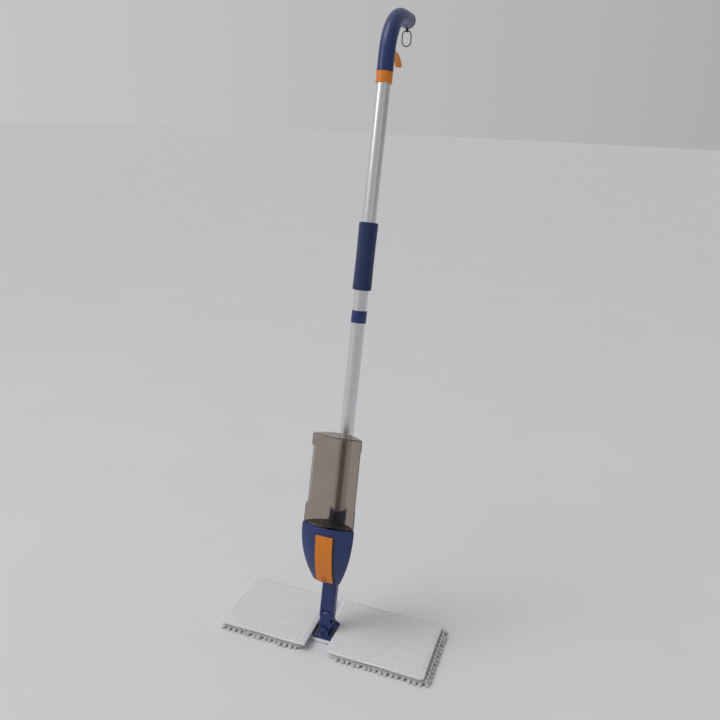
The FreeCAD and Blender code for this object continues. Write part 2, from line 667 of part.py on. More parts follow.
def make_trigger():
    """Curved finger lever with a hub on its pin and a short arm over the push rod."""
    body = new_body("trigger")
    spine = new_sketch(body, "trigger_spine", "YZ_Plane")
    foot = Vector(size("trigger_pivot_y"), size("trigger_height"), 0)
    knee = Vector(size("trigger_run"), size("trigger_height"), 0)
    middle = knee - Vector(0, size("trigger_bend"), 0)
    turn = math.radians(size("trigger_turn"))
    line = spine.addGeometry(Part.LineSegment(foot, knee), False)
    circle = Part.Circle(middle, Vector(0, 0, 1), size("trigger_bend"))
    arc = spine.addGeometry(Part.ArcOfCircle(circle, math.pi / 2 - turn, math.pi / 2), False)
    pin_point(spine, line, 1, "trigger_pivot_y", "trigger_height")
    pin_point(spine, line, 2, "trigger_run", "trigger_height")
    spine.addConstraint(Sketcher.Constraint("Coincident", line, 2, arc, 2))
    pin_point(spine, arc, 3, "trigger_run", "trigger_height - trigger_bend")
    measure(spine, "DistanceX", -1, 1, arc, 1, "trigger_run + trigger_bend * sin(trigger_turn)")
    section = new_sketch(body, "trigger_section", "XZ_Plane", "-trigger_pivot_y")
    half, thick = "trigger_half", "trigger_thick / 2"
    add_rectangle(section, f"-{half}", f"trigger_height - {thick}", half, f"trigger_height + {thick}")
    pipe(body, section, spine)
    round_edges(body, "(trigger_thick - 2 * trigger_flat) / 2",
                lambda edge: edge.BoundBox.YMax > size("trigger_run") + 1)
    hub = new_sketch(body, "trigger_hub_circle", "YZ_Plane")
    add_circle(hub, "trigger_pivot_y", "trigger_pivot_z", "trigger_hub")
    feature(body, "Pad", hub, "2 * trigger_half", both_ways=True)
    arm = new_sketch(body, "trigger_arm", "YZ_Plane")
    add_polygon(arm, [("rod_y - arm_nose", "rod_top + arm_gap"), ("rod_y + arm_nose", "rod_top + arm_gap"),
                      ("trigger_pivot_y", "trigger_height - trigger_thick / 3"),
                      ("trigger_pivot_y", "trigger_pivot_z + trigger_hub / 2"),
                      ("rod_y - arm_nose", "rod_top + arm_rise")])
    feature(body, "Pad", arm, "2 * arm_half", both_ways=True)
    hole = new_sketch(body, "trigger_hole", "YZ_Plane")
    add_circle(hole, "trigger_pivot_y", "trigger_pivot_z", "trigger_pin_radius + run_gap")
    feature(body, "Pocket", hole, "4 * trigger_half", both_ways=True)
    return keep(body, "trigger", on_pole())


def make_trigger_pin():
    """Pin whose ends stop inside the shells' walls."""
    reach = "sqrt(((tube_radius + handle_radius) / 2)^2 - trigger_pivot_y^2)"
    spot = Vector(-size(reach), size("trigger_pivot_y"), size("trigger_pivot_z"))
    pin = cylinder("trigger_pin_rod", "trigger_pin_radius", f"2 * {reach}", spot, Vector(1, 0, 0))
    return keep(pin, "trigger_pin", on_pole())


def make_trigger_spring():
    """Small coil round the trigger's pin, beside the hub."""
    spot = Vector(size("trigger_half + spring_gap"), size("trigger_pivot_y"), size("trigger_pivot_z"))
    place = on_pole(spot, Rotation(Vector(0, 0, 1), Vector(1, 0, 0)))
    return make_spring("trigger_spring", "fine_radius", "fine_wire", "fine_length", 2, place)


def make_pole():
    inner = "tube_radius - tube_wall"
    make_tube("lower_tube", "lower_tube_end", "tube_meeting", "tube_radius", inner)
    make_tube("upper_tube", "tube_meeting", "upper_tube_end", "tube_radius", inner)
    make_tube("tube_sleeve", "tube_meeting - sleeve_half", "tube_meeting + sleeve_half",
              f"{inner} - fit_gap", f"{inner} - fit_gap - sleeve_wall")
    make_tube("tube_connector", "connector_low", "connector_high", "connector_radius",
              "tube_radius + fit_gap", rounding="trim_round")
    make_tube("foam_grip", "foam_low", "foam_high", "foam_radius", "tube_radius + fit_gap",
              rounding="foam_round")
    make_tube("handle_collar", "collar_low", "handle_low", "handle_radius", "tube_radius + fit_gap",
              rounding="trim_round")


def make_rods():
    """Push rod in two lengths with a coupler, and the disc that the trigger pushes."""
    make_tube("push_rod_lower", "rod_foot", "rod_meeting", "rod_radius", None, "0", "rod_y")
    make_tube("push_rod_upper", "rod_meeting", "rod_top - button_thick", "rod_radius", None, "0", "rod_y")
    make_tube("rod_coupler", "rod_meeting - coupler_half", "rod_meeting + coupler_half",
              "rod_radius + fit_gap + coupler_wall", "rod_radius + fit_gap", "0", "rod_y")
    make_tube("rod_button", "rod_top - button_thick", "rod_top", "button_radius", None, "0", "rod_y")


# Housing, pump and nozzle

HOUSE_SHARES = (0, 0.23, 0.52, 0.8, 1)   # of the housing's height, where its sections lie


def house_sections(body, name, inset):
    """The housing's lens sections, drawn smaller all round by the inset."""
    made = []
    for number, share in enumerate(HOUSE_SHARES):
        level = f"(house_low + {share} * (house_high - house_low))"
        bulge = 4 * share * (1 - share)
        half = f"house_half_low + {share} * (house_half_high - house_half_low) + {bulge} * house_belly"
        edge = f"house_edge_low + {share} * (house_edge_high - house_edge_low) - {bulge} * house_edge_belly"
        lift = level
        if share == 0:
            lift = f"{level} + ({inset})"
        if share == 1:
            lift = f"{level} + ({inset}) / 2"
        sketch = new_sketch(body, f"{name}_{number}", lift=lift)
        front = FRONT_CURVE.format(z=level)
        add_lens(sketch, f"{half} - {LENS_SQUEEZE} * ({inset})", edge, f"{front} + ({inset})",
                 f"house_back - ({inset})")
        made.append(sketch)
    return made


def cut_away(body, name, keep_front):
    """Take off what lies on the other side of the sloping parting plane."""
    side = new_sketch(body, name, "YZ_Plane")
    slope = "(parting_high - parting_low) / (house_high - house_low)"
    low, high = "house_low - past", "spine_high + past"
    foot = f"parting_low - past * {slope}"
    head = f"parting_high + (spine_high + past - house_high) * {slope}"
    far = "through" if keep_front else "-through"
    corners = [(foot, low), (far, low), (far, high), (head, high)]
    add_polygon(side, corners)
    feature(body, "Pocket", side, "2 * through", both_ways=True)


def panel_band(sketch, outer, inner, low, high):
    """A band between two arcs that follow the housing's front curve."""
    corners = []
    for radius in (outer, inner):
        for level in (low, high):
            corners.append((f"panel_centre_y - sqrt(({radius})^2 - (({level}) - panel_centre_z)^2)", level))
    (ax, az), (bx, bz), (cx, cz), (dx, dz) = corners
    middle = Vector(size("panel_centre_y"), size("panel_centre_z"), 0)
    arcs = []
    for radius, first, last in ((outer, (bx, bz), (ax, az)), (inner, (dx, dz), (cx, cz))):
        angles = [math.atan2(size(up) - middle.y, size(across) - middle.x) % (2 * math.pi)
                  for across, up in (first, last)]
        circle = Part.Circle(middle, Vector(0, 0, 1), size(radius))
        arcs.append(sketch.addGeometry(Part.ArcOfCircle(circle, *angles), False))
        pin_point(sketch, arcs[-1], 3, "panel_centre_y", "panel_centre_z")
        measure(sketch, "Radius", arcs[-1], radius)
        measure(sketch, "DistanceY", -1, 1, arcs[-1], 1, first[1])
        measure(sketch, "DistanceY", -1, 1, arcs[-1], 2, last[1])
    for corner in (1, 2):
        points = [sketch.getPoint(arc, corner) for arc in arcs]
        line = sketch.addGeometry(Part.LineSegment(*points), False)
        sketch.addConstraint(Sketcher.Constraint("Coincident", arcs[0], corner, line, 1))
        sketch.addConstraint(Sketcher.Constraint("Coincident", arcs[1], corner, line, 2))


def make_housing_front():
    body = new_body("housing_front")
    loft(body, house_sections(body, "front_outer", "0"))
    loft(body, house_sections(body, "front_inner", "house_wall"), "SubtractiveLoft")
    for side in (-1, 1):
        boss = new_sketch(body, f"front_boss_{side + 1}", "XZ_Plane", "boss_back")
        add_circle(boss, f"{side} * boss_x", "boss_z", "boss_radius")
        feature(body, "Pad", boss, "boss_long")
        bore = new_sketch(body, f"front_bore_{side + 1}", "XZ_Plane", "boss_back - past")
        add_circle(bore, f"{side} * boss_x", "boss_z", "screw_radius + run_gap")
        feature(body, "Pocket", bore, "screw_long - screw_head_thick + past + free_gap", backwards=True)
    cut_away(body, "front_parting", keep_front=True)
    recess = new_sketch(body, "front_recess", "YZ_Plane")
    panel_band(recess, "panel_radius + past", "panel_radius - panel_thick - fit_gap",
               "panel_low - fit_gap", "panel_high + fit_gap")
    feature(body, "Pocket", recess, "2 * (panel_half + fit_gap)", both_ways=True)
    outlet = new_sketch(body, "front_outlet", "XZ_Plane")
    add_circle(outlet, "0", "nozzle_z", "nozzle_radius + nozzle_room")
    feature(body, "Pocket", outlet, "through", backwards=True)
    return keep(body, "housing_front", on_pole())


def make_housing_rear():
    """Back shell with the socket that the tube and the neck slide into."""
    body = new_body("housing_rear")
    loft(body, house_sections(body, "rear_outer", "0"))
    web = new_sketch(body, "rear_web", lift="house_low")
    add_rectangle(web, "-spine_radius", "spine_reach", "spine_radius", "0")
    feature(body, "Pad", web, "house_high - house_low")
    socket = new_sketch(body, "rear_socket", lift="house_low")
    add_circle(socket, "0", "0", "spine_radius")
    feature(body, "Pad", socket, "spine_high - house_low")
    loft(body, house_sections(body, "rear_inner", "house_wall"), "SubtractiveLoft")
    bore = new_sketch(body, "rear_bore", lift="neck_top")
    add_circle(bore, "0", "0", "tube_radius + fit_gap")
    feature(body, "Pocket", bore, "spine_high", backwards=True)
    seat = new_sketch(body, "rear_seat", lift="house_low - past")
    add_rectangle(seat, "-neck_half - fit_gap", "-neck_deep - fit_gap", "neck_half + fit_gap",
                  "neck_deep + fit_gap")
    feature(body, "Pocket", seat, "neck_top - house_low + past", backwards=True)
    window = new_sketch(body, "rear_window", "XZ_Plane")
    add_rectangle(window, "-window_half", "neck_top + window_up", "window_half", "pump_high")
    feature(body, "Pocket", window, "through", backwards=True)
    for side in (-1, 1):
        hole = new_sketch(body, f"rear_hole_{side + 1}", "XZ_Plane")
        add_circle(hole, f"{side} * boss_x", "boss_z", "screw_head + fit_gap")
        feature(body, "Pocket", hole, "boss_back - fit_gap", backwards=True)
    cut_away(body, "rear_parting", keep_front=False)
    return keep(body, "housing_rear", on_pole())


def make_housing_screws():
    screws = []
    for side in (-1, 1):
        name = "left" if side < 0 else "right"
        back = Vector(side * size("boss_x"), -size("boss_back - fit_gap"), size("boss_z"))
        spot = back - Vector(0, size("screw_long - screw_head_thick"), 0)
        shank = cylinder(f"housing_shank_{name}", "screw_radius", "screw_long", spot, Vector(0, 1, 0))
        head = cylinder(f"housing_head_{name}", "screw_head", "screw_head_thick", back, Vector(0, 1, 0))
        screws.append(fuse(f"housing_screw_{name}", [shank, head]))
    doc.recompute()
    return keep(group("housing_screw_group", screws), "housing_screws", on_pole())


def make_panel():
    """Curved trim strip set into the housing's front, with the nozzle's hole."""
    body = new_body("nozzle_panel")
    band = new_sketch(body, "panel_band_sketch", "YZ_Plane")
    panel_band(band, "panel_radius", "panel_radius - panel_thick", "panel_low", "panel_high")
    feature(body, "Pad", band, "2 * panel_half", both_ways=True)
    round_edges(body, "trim_round", lambda edge: edge.Curve.TypeId == "Part::GeomCircle"
                and abs(edge.Curve.Radius - size("panel_radius")) < 1e-6)
    hole = new_sketch(body, "panel_hole", "XZ_Plane")
    add_circle(hole, "0", "nozzle_z", "nozzle_radius + nozzle_room")
    feature(body, "Pocket", hole, "through", backwards=True)
    return keep(body, "nozzle_panel", on_pole())


def nozzle_place():
    level = size("nozzle_z")
    across = size("panel_centre_y - sqrt(panel_radius^2 - (nozzle_z - panel_centre_z)^2)")
    return Vector(0, across, level), Rotation(Vector(1, 0, 0), 90 + size("nozzle_tilt"))


def make_nozzle():
    """Stepped jet: a domed tip with a fine bore, and a barb for the hose behind."""
    body = new_body("nozzle")
    section = new_sketch(body, "nozzle_section", "XZ_Plane")
    add_polygon(section, [("jet", "-nozzle_barb"), ("hose_bore", "-nozzle_barb"),
                          ("hose_bore", "-nozzle_body"), ("nozzle_radius", "-nozzle_body"),
                          ("nozzle_radius", "nozzle_lip"), ("nozzle_radius / 2", "nozzle_dome"),
                          ("jet", "nozzle_dome")])
    spin(body, section)
    place, turn = nozzle_place()
    return keep(body, "nozzle", on_pole(place, turn))


def make_pump():
    body = new_body("pump_body")
    can = new_sketch(body, "pump_can", lift="pump_low")
    add_circle(can, "0", "rod_y", "pump_radius")
    feature(body, "Pad", can, "pump_high - pump_low")
    bore = new_sketch(body, "pump_bore_circle", lift="pump_low + pump_floor")
    add_circle(bore, "0", "rod_y", "pump_bore")
    feature(body, "Pocket", bore, "pump_high - pump_low", backwards=True)
    keep(body, "pump_body", on_pole())
    piston = new_body("pump_piston")
    profile = new_sketch(piston, "piston_profile", "XZ_Plane")
    add_polygon(profile, [("0", "piston_low"), ("pump_bore - run_gap", "piston_low"),
                          ("pump_bore - run_gap", "piston_low + piston_long"),
                          ("piston_stem", "piston_low + piston_long"),
                          ("piston_stem", "rod_foot - piston_disc_thick"),
                          ("piston_disc", "rod_foot - piston_disc_thick"), ("piston_disc", "rod_foot"),
                          ("0", "rod_foot")])
    spin(piston, profile)
    keep(piston, "pump_piston", on_pole(Vector(0, size("rod_y"), 0)))
    spot = Vector(0, size("rod_y"), size("pump_high + spring_gap"))
    make_spring("pump_spring", "spring_radius", "spring_wire",
                "rod_foot - piston_disc_thick - pump_high - 2 * spring_gap", 4, on_pole(spot))


def make_hose(label, side, low, straight, top_y):
    """A hose that comes down inside the housing and turns back into the pump."""
    body = new_body(label)
    spine = new_sketch(body, f"{label}_spine", "YZ_Plane", f"{side} * hose_x")
    foot = Vector(size(top_y), size(low) + size("hose_bend") + size(straight), 0)
    knee = Vector(size(top_y), size(low) + size("hose_bend"), 0)
    middle = knee + Vector(size("hose_bend"), 0, 0)
    toe = middle + Vector(0, -size("hose_bend"), 0)
    circle = Part.Circle(middle, Vector(0, 0, 1), size("hose_bend"))
    line = spine.addGeometry(Part.LineSegment(foot, knee), False)
    arc = spine.addGeometry(Part.ArcOfCircle(circle, math.pi, 1.5 * math.pi), False)
    end = "rod_y - pump_radius + fit_gap"
    last = spine.addGeometry(Part.LineSegment(toe, Vector(size(end), toe.y, 0)), False)
    pin_point(spine, line, 1, top_y, f"{low} + hose_bend + ({straight})")
    pin_point(spine, line, 2, top_y, f"{low} + hose_bend")
    pin_point(spine, arc, 3, f"({top_y}) + hose_bend", f"{low} + hose_bend")
    spine.addConstraint(Sketcher.Constraint("Coincident", line, 2, arc, 1))
    measure(spine, "DistanceX", -1, 1, arc, 2, f"({top_y}) + hose_bend")
    spine.addConstraint(Sketcher.Constraint("Coincident", arc, 2, last, 1))
    pin_point(spine, last, 2, end, low)
    section = new_sketch(body, f"{label}_section", lift=f"{low} + hose_bend + ({straight})")
    add_circle(section, f"{side} * hose_x", top_y, "hose_radius")
    add_circle(section, f"{side} * hose_x", top_y, "hose_bore")
    pipe(body, section, spine)
    return keep(body, label, on_pole())


def make_neck():
    """Flat strut with a fork at its foot for the link's tongue."""
    body = new_body("neck")
    side = new_sketch(body, "neck_side", "YZ_Plane")
    deep = size("neck_deep")
    arc = side.addGeometry(Part.ArcOfCircle(Part.Circle(Vector(), Vector(0, 0, 1), deep), math.pi,
                                            2 * math.pi), False)
    top = size("neck_top")
    corners = [Vector(deep, 0, 0), Vector(deep, top, 0), Vector(-deep, top, 0), Vector(-deep, 0, 0)]
    lines = [side.addGeometry(Part.LineSegment(*pair), False) for pair in zip(corners, corners[1:])]
    side.addConstraint(Sketcher.Constraint("Coincident", arc, 3, -1, 1))
    measure(side, "Radius", arc, "neck_deep")
    side.addConstraint(Sketcher.Constraint("Coincident", arc, 2, lines[0], 1))
    side.addConstraint(Sketcher.Constraint("Coincident", lines[0], 2, lines[1], 1))
    side.addConstraint(Sketcher.Constraint("Coincident", lines[1], 2, lines[2], 1))
    side.addConstraint(Sketcher.Constraint("Coincident", lines[2], 2, arc, 1))
    pin_point(side, lines[1], 1, "neck_deep", "neck_top")
    pin_point(side, lines[2], 1, "-neck_deep", "neck_top")
    measure(side, "DistanceY", -1, 1, lines[0], 1, "0")
    measure(side, "DistanceY", -1, 1, lines[2], 2, "0")
    feature(body, "Pad", side, "2 * neck_half", both_ways=True)
    round_edges(body, "neck_corner", runs_along(Vector(0, 0, 1)))
    fork = new_sketch(body, "neck_fork", "YZ_Plane")
    add_rectangle(fork, "-neck_deep - past", "-neck_deep - past", "neck_deep + past", "fork_top")
    feature(body, "Pocket", fork, "2 * (tongue_half + fit_gap)", both_ways=True)
    pin = new_sketch(body, "neck_pin", "YZ_Plane")
    add_circle(pin, "0", "0", "tilt_pin_radius")
    feature(body, "Pocket", pin, "4 * neck_half", both_ways=True)
    return keep(body, "neck", on_pole())


def make_tilt_pin():
    pin = cylinder("tilt_pin_rod", "tilt_pin_radius", "2 * neck_half",
                   Vector(-size("neck_half"), 0, 0), Vector(1, 0, 0))
    return keep(pin, "tilt_pin", on_pole())


# Tank

def tank_sections(body, name, inset, lifts):
    made = []
    for number, (lift, half, front) in enumerate(lifts):
        sketch = new_sketch(body, f"{name}_{number}", lift=lift)
        add_lens(sketch, f"{half} - {LENS_SQUEEZE} * ({inset})", "tank_edge", f"{front} + ({inset})",
                 f"tank_back - ({inset})")
        made.append(sketch)
    return made


def make_tank():
    """Clear bottle with its mouth underneath."""
    body = new_body("tank")
    low, high = ("tank_half_low", "tank_front_low"), ("tank_half_high", "tank_front_high")
    loft(body, tank_sections(body, "tank_outer", "0", (("tank_low", *low), ("tank_high", *high))))
    mouth = new_sketch(body, "tank_mouth", lift="mouth_low")
    add_circle(mouth, "0", "mouth_y", "mouth_radius")
    feature(body, "Pad", mouth, "tank_low - mouth_low + 1")
    loft(body, tank_sections(body, "tank_inner", "tank_wall", (("tank_low + tank_wall", *low),
                                                              ("tank_high - tank_wall", *high))),
         "SubtractiveLoft")
    bore = new_sketch(body, "tank_bore", lift="mouth_low")
    add_circle(bore, "0", "mouth_y", "mouth_radius - tank_wall")
    feature(body, "Pocket", bore, "tank_low - mouth_low + 2 * tank_wall", backwards=True)
    return keep(body, "tank", on_pole())


def make_tank_fittings():
    spot = on_pole(Vector(0, size("mouth_y"), 0))
    cap = new_body("tank_cap")
    profile = new_sketch(cap, "cap_profile", "XZ_Plane")
    add_polygon(profile, [("stem_radius + run_gap", "cap_low"), ("cap_radius", "cap_low"),
                          ("cap_radius", "tank_low - free_gap"),
                          ("mouth_radius + fit_gap", "tank_low - free_gap"),
                          ("mouth_radius + fit_gap", "cap_low + cap_floor"),
                          ("stem_radius + run_gap", "cap_low + cap_floor")])
    spin(cap, profile)
    keep(cap, "tank_cap", spot)
    make_tube("tank_seal", "cap_low + cap_floor + fit_gap", "mouth_low - fit_gap", "mouth_radius - fit_gap",
              "mouth_radius - seal_width", placement=spot)
    stem = new_body("valve_stem")
    outline = new_sketch(stem, "stem_profile", "XZ_Plane")
    disc = "cap_low + cap_floor + free_gap"
    add_polygon(outline, [("0", "cap_low - stem_drop"), ("stem_radius", "cap_low - stem_drop"),
                          ("stem_radius", disc), ("stem_disc", disc),
                          ("stem_disc", f"{disc} + stem_disc_thick"), ("0", f"{disc} + stem_disc_thick")])
    spin(stem, outline)
    keep(stem, "valve_stem", spot)


def make_dock():
    """Plate in the housing's top, with the well that the tank's cap drops into."""
    body = new_body("tank_dock")
    plate = new_sketch(body, "dock_plate", lift="dock_low")
    low_front = FRONT_CURVE.format(z="dock_low")
    high_front = FRONT_CURVE.format(z="dock_low + dock_thick")
    front = f"max({low_front}; {high_front} - fit_gap)"
    inset = "(house_wall + free_gap)"
    add_lens(plate, f"house_half_high - {LENS_SQUEEZE} * {inset}", "house_edge_high",
             f"{front} + {inset}", f"house_back - {inset}")
    feature(body, "Pad", plate, "dock_thick")
    well = new_sketch(body, "dock_well", lift="well_low")
    add_circle(well, "0", "mouth_y", "cap_radius + free_gap + well_wall")
    feature(body, "Pad", well, "dock_low - well_low + 1")
    hollow = new_sketch(body, "dock_hollow", lift="well_low + well_floor")
    add_circle(hollow, "0", "mouth_y", "cap_radius + free_gap")
    feature(body, "Pocket", hollow, "dock_low - well_low + dock_thick", backwards=True)
    drain = new_sketch(body, "dock_drain", lift="well_low - past")
    add_circle(drain, "-hose_x", "mouth_y", "hose_bore")
    feature(body, "Pocket", drain, "2 * past", backwards=True)
    return keep(body, "tank_dock", on_pole())


# Head

def make_link():
    """Joint link: tongue and barrel on the tilt pin above, round foot on the roll pin below."""
    body = new_body("joint_link")
    block = new_sketch(body, "link_block", lift="roll_height")
    add_rectangle(block, "-link_half", "-link_deep", "link_half", "link_deep")
    feature(body, "Pad", block, "link_top - roll_height")
    round_edges(body, "neck_corner", runs_along(Vector(0, 0, 1)))
    flank = new_sketch(body, "link_flank", "XZ_Plane", "-link_deep - past")
    for side in ("-", ""):
        near, far = f"{side}(knuckle_radius)", f"{side}(link_half + past)"
        add_polygon(flank, [(near, "roll_height - past"), (near, "roll_height + flank_low"),
                            (f"{side}(link_half)", "roll_height + flank_high"),
                            (far, "roll_height + flank_high"), (far, "roll_height - past")])
    feature(body, "Pocket", flank, "2 * (link_deep + past)", backwards=True)
    foot = new_sketch(body, "link_foot", "XZ_Plane", "-link_deep")
    add_circle(foot, "0", "roll_height", "knuckle_radius")
    feature(body, "Pad", foot, "2 * link_deep")
    tongue = new_sketch(body, "link_tongue", lift="link_top - past")
    add_rectangle(tongue, "-tongue_half", "-tongue_radius", "tongue_half", "tongue_radius")
    feature(body, "Pad", tongue, "pivot_height - link_top + past")
    barrel = new_sketch(body, "link_barrel", "YZ_Plane")
    add_circle(barrel, "0", "pivot_height", "tongue_radius")
    feature(body, "Pad", barrel, "2 * tongue_half", both_ways=True)
    tilt = new_sketch(body, "link_tilt_hole", "YZ_Plane")
    add_circle(tilt, "0", "pivot_height", "tilt_pin_radius + run_gap")
    feature(body, "Pocket", tilt, "4 * tongue_half", both_ways=True)
    roll = new_sketch(body, "link_roll_hole", "XZ_Plane", "-link_deep - past")
    add_circle(roll, "0", "roll_height", "roll_pin_radius + run_gap")
    feature(body, "Pocket", roll, "2 * (link_deep + past)", backwards=True)
    return keep(body, "joint_link", Placement())


def add_knuckle(body, name, side, root, low, length, levels):
    """A short arm and a round knuckle on the wing pin's axis."""
    arm = new_sketch(body, f"{name}_arm", "XZ_Plane", f"-({low})")
    edges = sorted((root, f"{side} * hinge_x"), key=size)
    add_rectangle(arm, edges[0], levels[0], edges[1], levels[1])
    feature(body, "Pad", arm, length, backwards=True)
    knob = new_sketch(body, f"{name}_knob", "XZ_Plane", f"-({low})")
    add_circle(knob, f"{side} * hinge_x", "hinge_height", "hinge_radius")
    feature(body, "Pad", knob, length, backwards=True)


def make_base():
    """Centre plate with two ears for the roll pin and knuckles for the wings."""
    body = new_body("base_plate")
    plate = new_sketch(body, "base_outline", lift="base_low")
    add_rectangle(plate, "-base_half", "head_middle - base_deep", "base_half", "head_middle + base_deep")
    feature(body, "Pad", plate, "base_thick")
    round_edges(body, "base_corner", runs_along(Vector(0, 0, 1)))
    for name, start in (("front", "link_deep + free_gap"), ("back", "-link_deep - free_gap - ear_thick")):
        ear = new_sketch(body, f"base_ear_{name}", "XZ_Plane", start)
        add_rectangle(ear, "-knuckle_radius", "base_low + 1", "knuckle_radius", "roll_height")
        feature(body, "Pad", ear, "ear_thick")
        crown = new_sketch(body, f"base_crown_{name}", "XZ_Plane", start)
        add_circle(crown, "0", "roll_height", "knuckle_radius")
        feature(body, "Pad", crown, "ear_thick")
    dish = new_sketch(body, "base_dish", "XZ_Plane", "-link_deep - free_gap")
    add_circle(dish, "0", "roll_height", "knuckle_radius + free_gap")
    feature(body, "Pocket", dish, "2 * (link_deep + free_gap)", backwards=True)
    for side in (-1, 1):
        root = f"{side} * (base_half - knuckle_root)"
        for number in (-1, 0, 1):
            low = f"knuckle_middle + ({number}) * knuckle_pitch - knuckle_long / 2"
            add_knuckle(body, f"base_knuckle_{side + 1}_{number + 1}", side, root, low, "knuckle_long",
                        ("base_low + trim_round", "base_low + base_thick"))
        bore = new_sketch(body, f"base_bore_{side + 1}", "XZ_Plane", "through / 2")
        add_circle(bore, f"{side} * hinge_x", "hinge_height", "hinge_pin")
        feature(body, "Pocket", bore, "through")
    hole = new_sketch(body, "base_roll_hole", "XZ_Plane", "through / 2")
    add_circle(hole, "0", "roll_height", "roll_pin_radius")
    feature(body, "Pocket", hole, "through")
    return keep(body, "base_plate", Placement())


def make_roll_pin():
    reach = size("link_deep + free_gap + ear_thick")
    pin = cylinder("roll_pin_rod", "roll_pin_radius", "2 * (link_deep + free_gap + ear_thick)",
                   Vector(0, -reach, size("roll_height")), Vector(0, 1, 0))
    return keep(pin, "roll_pin", Placement())


def make_wing_pins():
    pins = []
    low = size("head_middle - base_deep + trim_round")
    for side in (-1, 1):
        name = "left" if side < 0 else "right"
        pins.append(cylinder(f"wing_pin_{name}", "hinge_pin", "2 * (base_deep - trim_round)",
                             Vector(side * size("hinge_x"), low, size("hinge_height")), Vector(0, 1, 0)))
    return keep(group("wing_pin_group", pins), "wing_pins", Placement())


def make_wing(label, side):
    """Flat plate with a stiffening rim and knuckles between those of the base."""
    body = new_body(label)
    plate = new_sketch(body, f"{label}_plate", lift="wing_low")
    near, far = f"{side} * wing_inner", f"{side} * wing_end"
    left, right = (near, far) if side > 0 else (far, near)
    add_rectangle(plate, left, "head_middle - wing_deep", right, "head_middle + wing_deep")
    feature(body, "Pad", plate, "wing_thick")
    round_edges(body, "wing_corner", runs_along(Vector(0, 0, 1)))
    for number in (-1, 0):
        low = f"knuckle_middle + ({number}) * knuckle_pitch + knuckle_long / 2 + knuckle_gap"
        add_knuckle(body, f"{label}_knuckle_{number + 1}", side, f"{side} * (wing_inner + knuckle_root)", low,
                    "knuckle_pitch - knuckle_long - 2 * knuckle_gap", ("wing_low", "wing_low + wing_thick"))
    bore = new_sketch(body, f"{label}_bore", "XZ_Plane", "through / 2")
    add_circle(bore, f"{side} * hinge_x", "hinge_height", "hinge_pin + run_gap")
    feature(body, "Pocket", bore, "through")
    return keep(body, label, Placement())


def make_pad_half(label, side, far):
    """Pile and pocket as one closed solid, with the slot that the wing slides into."""
    body = new_body(label)
    outline = new_sketch(body, f"{label}_outline")
    near = f"{side} * pad_inner"
    left, right = (near, far) if side > 0 else (far, near)
    add_rectangle(outline, left, "pad_middle - pad_deep", right, "pad_middle + pad_deep")
    feature(body, "Pad", outline, "pad_top")
    outer = size(far)
    round_edges(body, "pad_corner", lambda edge: runs_along(Vector(0, 0, 1))(edge)
                and abs(edge.CenterOfMass.x - outer) < 1)
    slot = new_sketch(body, f"{label}_slot", lift="wing_low - pad_slack")
    near, end = f"{side} * (pad_inner - past)", f"{side} * (wing_end + pad_slack)"
    left, right = (near, end) if side > 0 else (end, near)
    add_rectangle(slot, left, "head_middle - wing_deep - pad_slack", right,
                  "head_middle + wing_deep + pad_slack")
    feature(body, "Pocket", slot, "wing_thick + 2 * pad_slack", backwards=True)
    return keep(body, label, Placement())


def make_pad_strip():
    """Narrow strip of the pad under the base, between the two halves."""
    body = new_body("pad_strip")
    outline = new_sketch(body, "strip_outline")
    add_rectangle(outline, "-strip_half", "pad_middle - strip_deep", "strip_half",
                  "pad_middle + strip_deep")
    feature(body, "Pad", outline, "strip_thick")
    round_edges(body, "strip_corner", runs_along(Vector(0, 0, 1)))
    return keep(body, "pad_strip", Placement())


def make_latch():
    """Pedal behind the joint that lets the wings fold, and the spring under it."""
    body = new_body("release_latch")
    back = "head_middle + base_deep - latch_inset"
    outline = new_sketch(body, "latch_outline", lift="base_low + base_thick + latch_travel + free_gap")
    add_rectangle(outline, "latch_middle - latch_half", f"{back} - latch_deep", "latch_middle + latch_half",
                  back)
    feature(body, "Pad", outline, "latch_thick")
    round_edges(body, "latch_corner", runs_along(Vector(0, 0, 1)))
    keep(body, "release_latch", Placement())
    foot = Vector(size("latch_middle"), size(f"{back} - latch_deep / 2"),
                  size("base_low + base_thick + fit_gap"))
    make_spring("latch_spring", "fine_radius", "fine_wire", "latch_travel", 2, Placement(foot, Rotation()))


def build():
    make_handle_shell("handle_shell_left", -1, "screw_radius - 0.05")
    make_handle_shell("handle_shell_right", 1, "screw_head + fit_gap")
    make_end_cap()
    make_loop()
    make_handle_screws()
    make_trigger()
    make_trigger_pin()
    make_trigger_spring()
    make_pole()
    make_rods()
    make_housing_front()
    make_housing_rear()
    make_housing_screws()
    make_panel()
    make_nozzle()
    make_pump()
    make_hose("inlet_hose", -1, "inlet_level", "well_low - inlet_level - hose_bend", "mouth_y")
    make_hose("outlet_hose", 1, "outlet_level", "outlet_drop", "outlet_front")
    make_neck()
    make_tilt_pin()
    make_dock()
    make_tank()
    make_tank_fittings()
    make_link()
    make_base()
    make_roll_pin()
    make_wing_pins()
    make_wing("left_wing", -1)
    make_wing("right_wing", 1)
    make_pad_half("pad_left", -1, "pad_left_end")
    make_pad_half("pad_right", 1, "pad_right_end")
    make_pad_strip()
    make_latch()


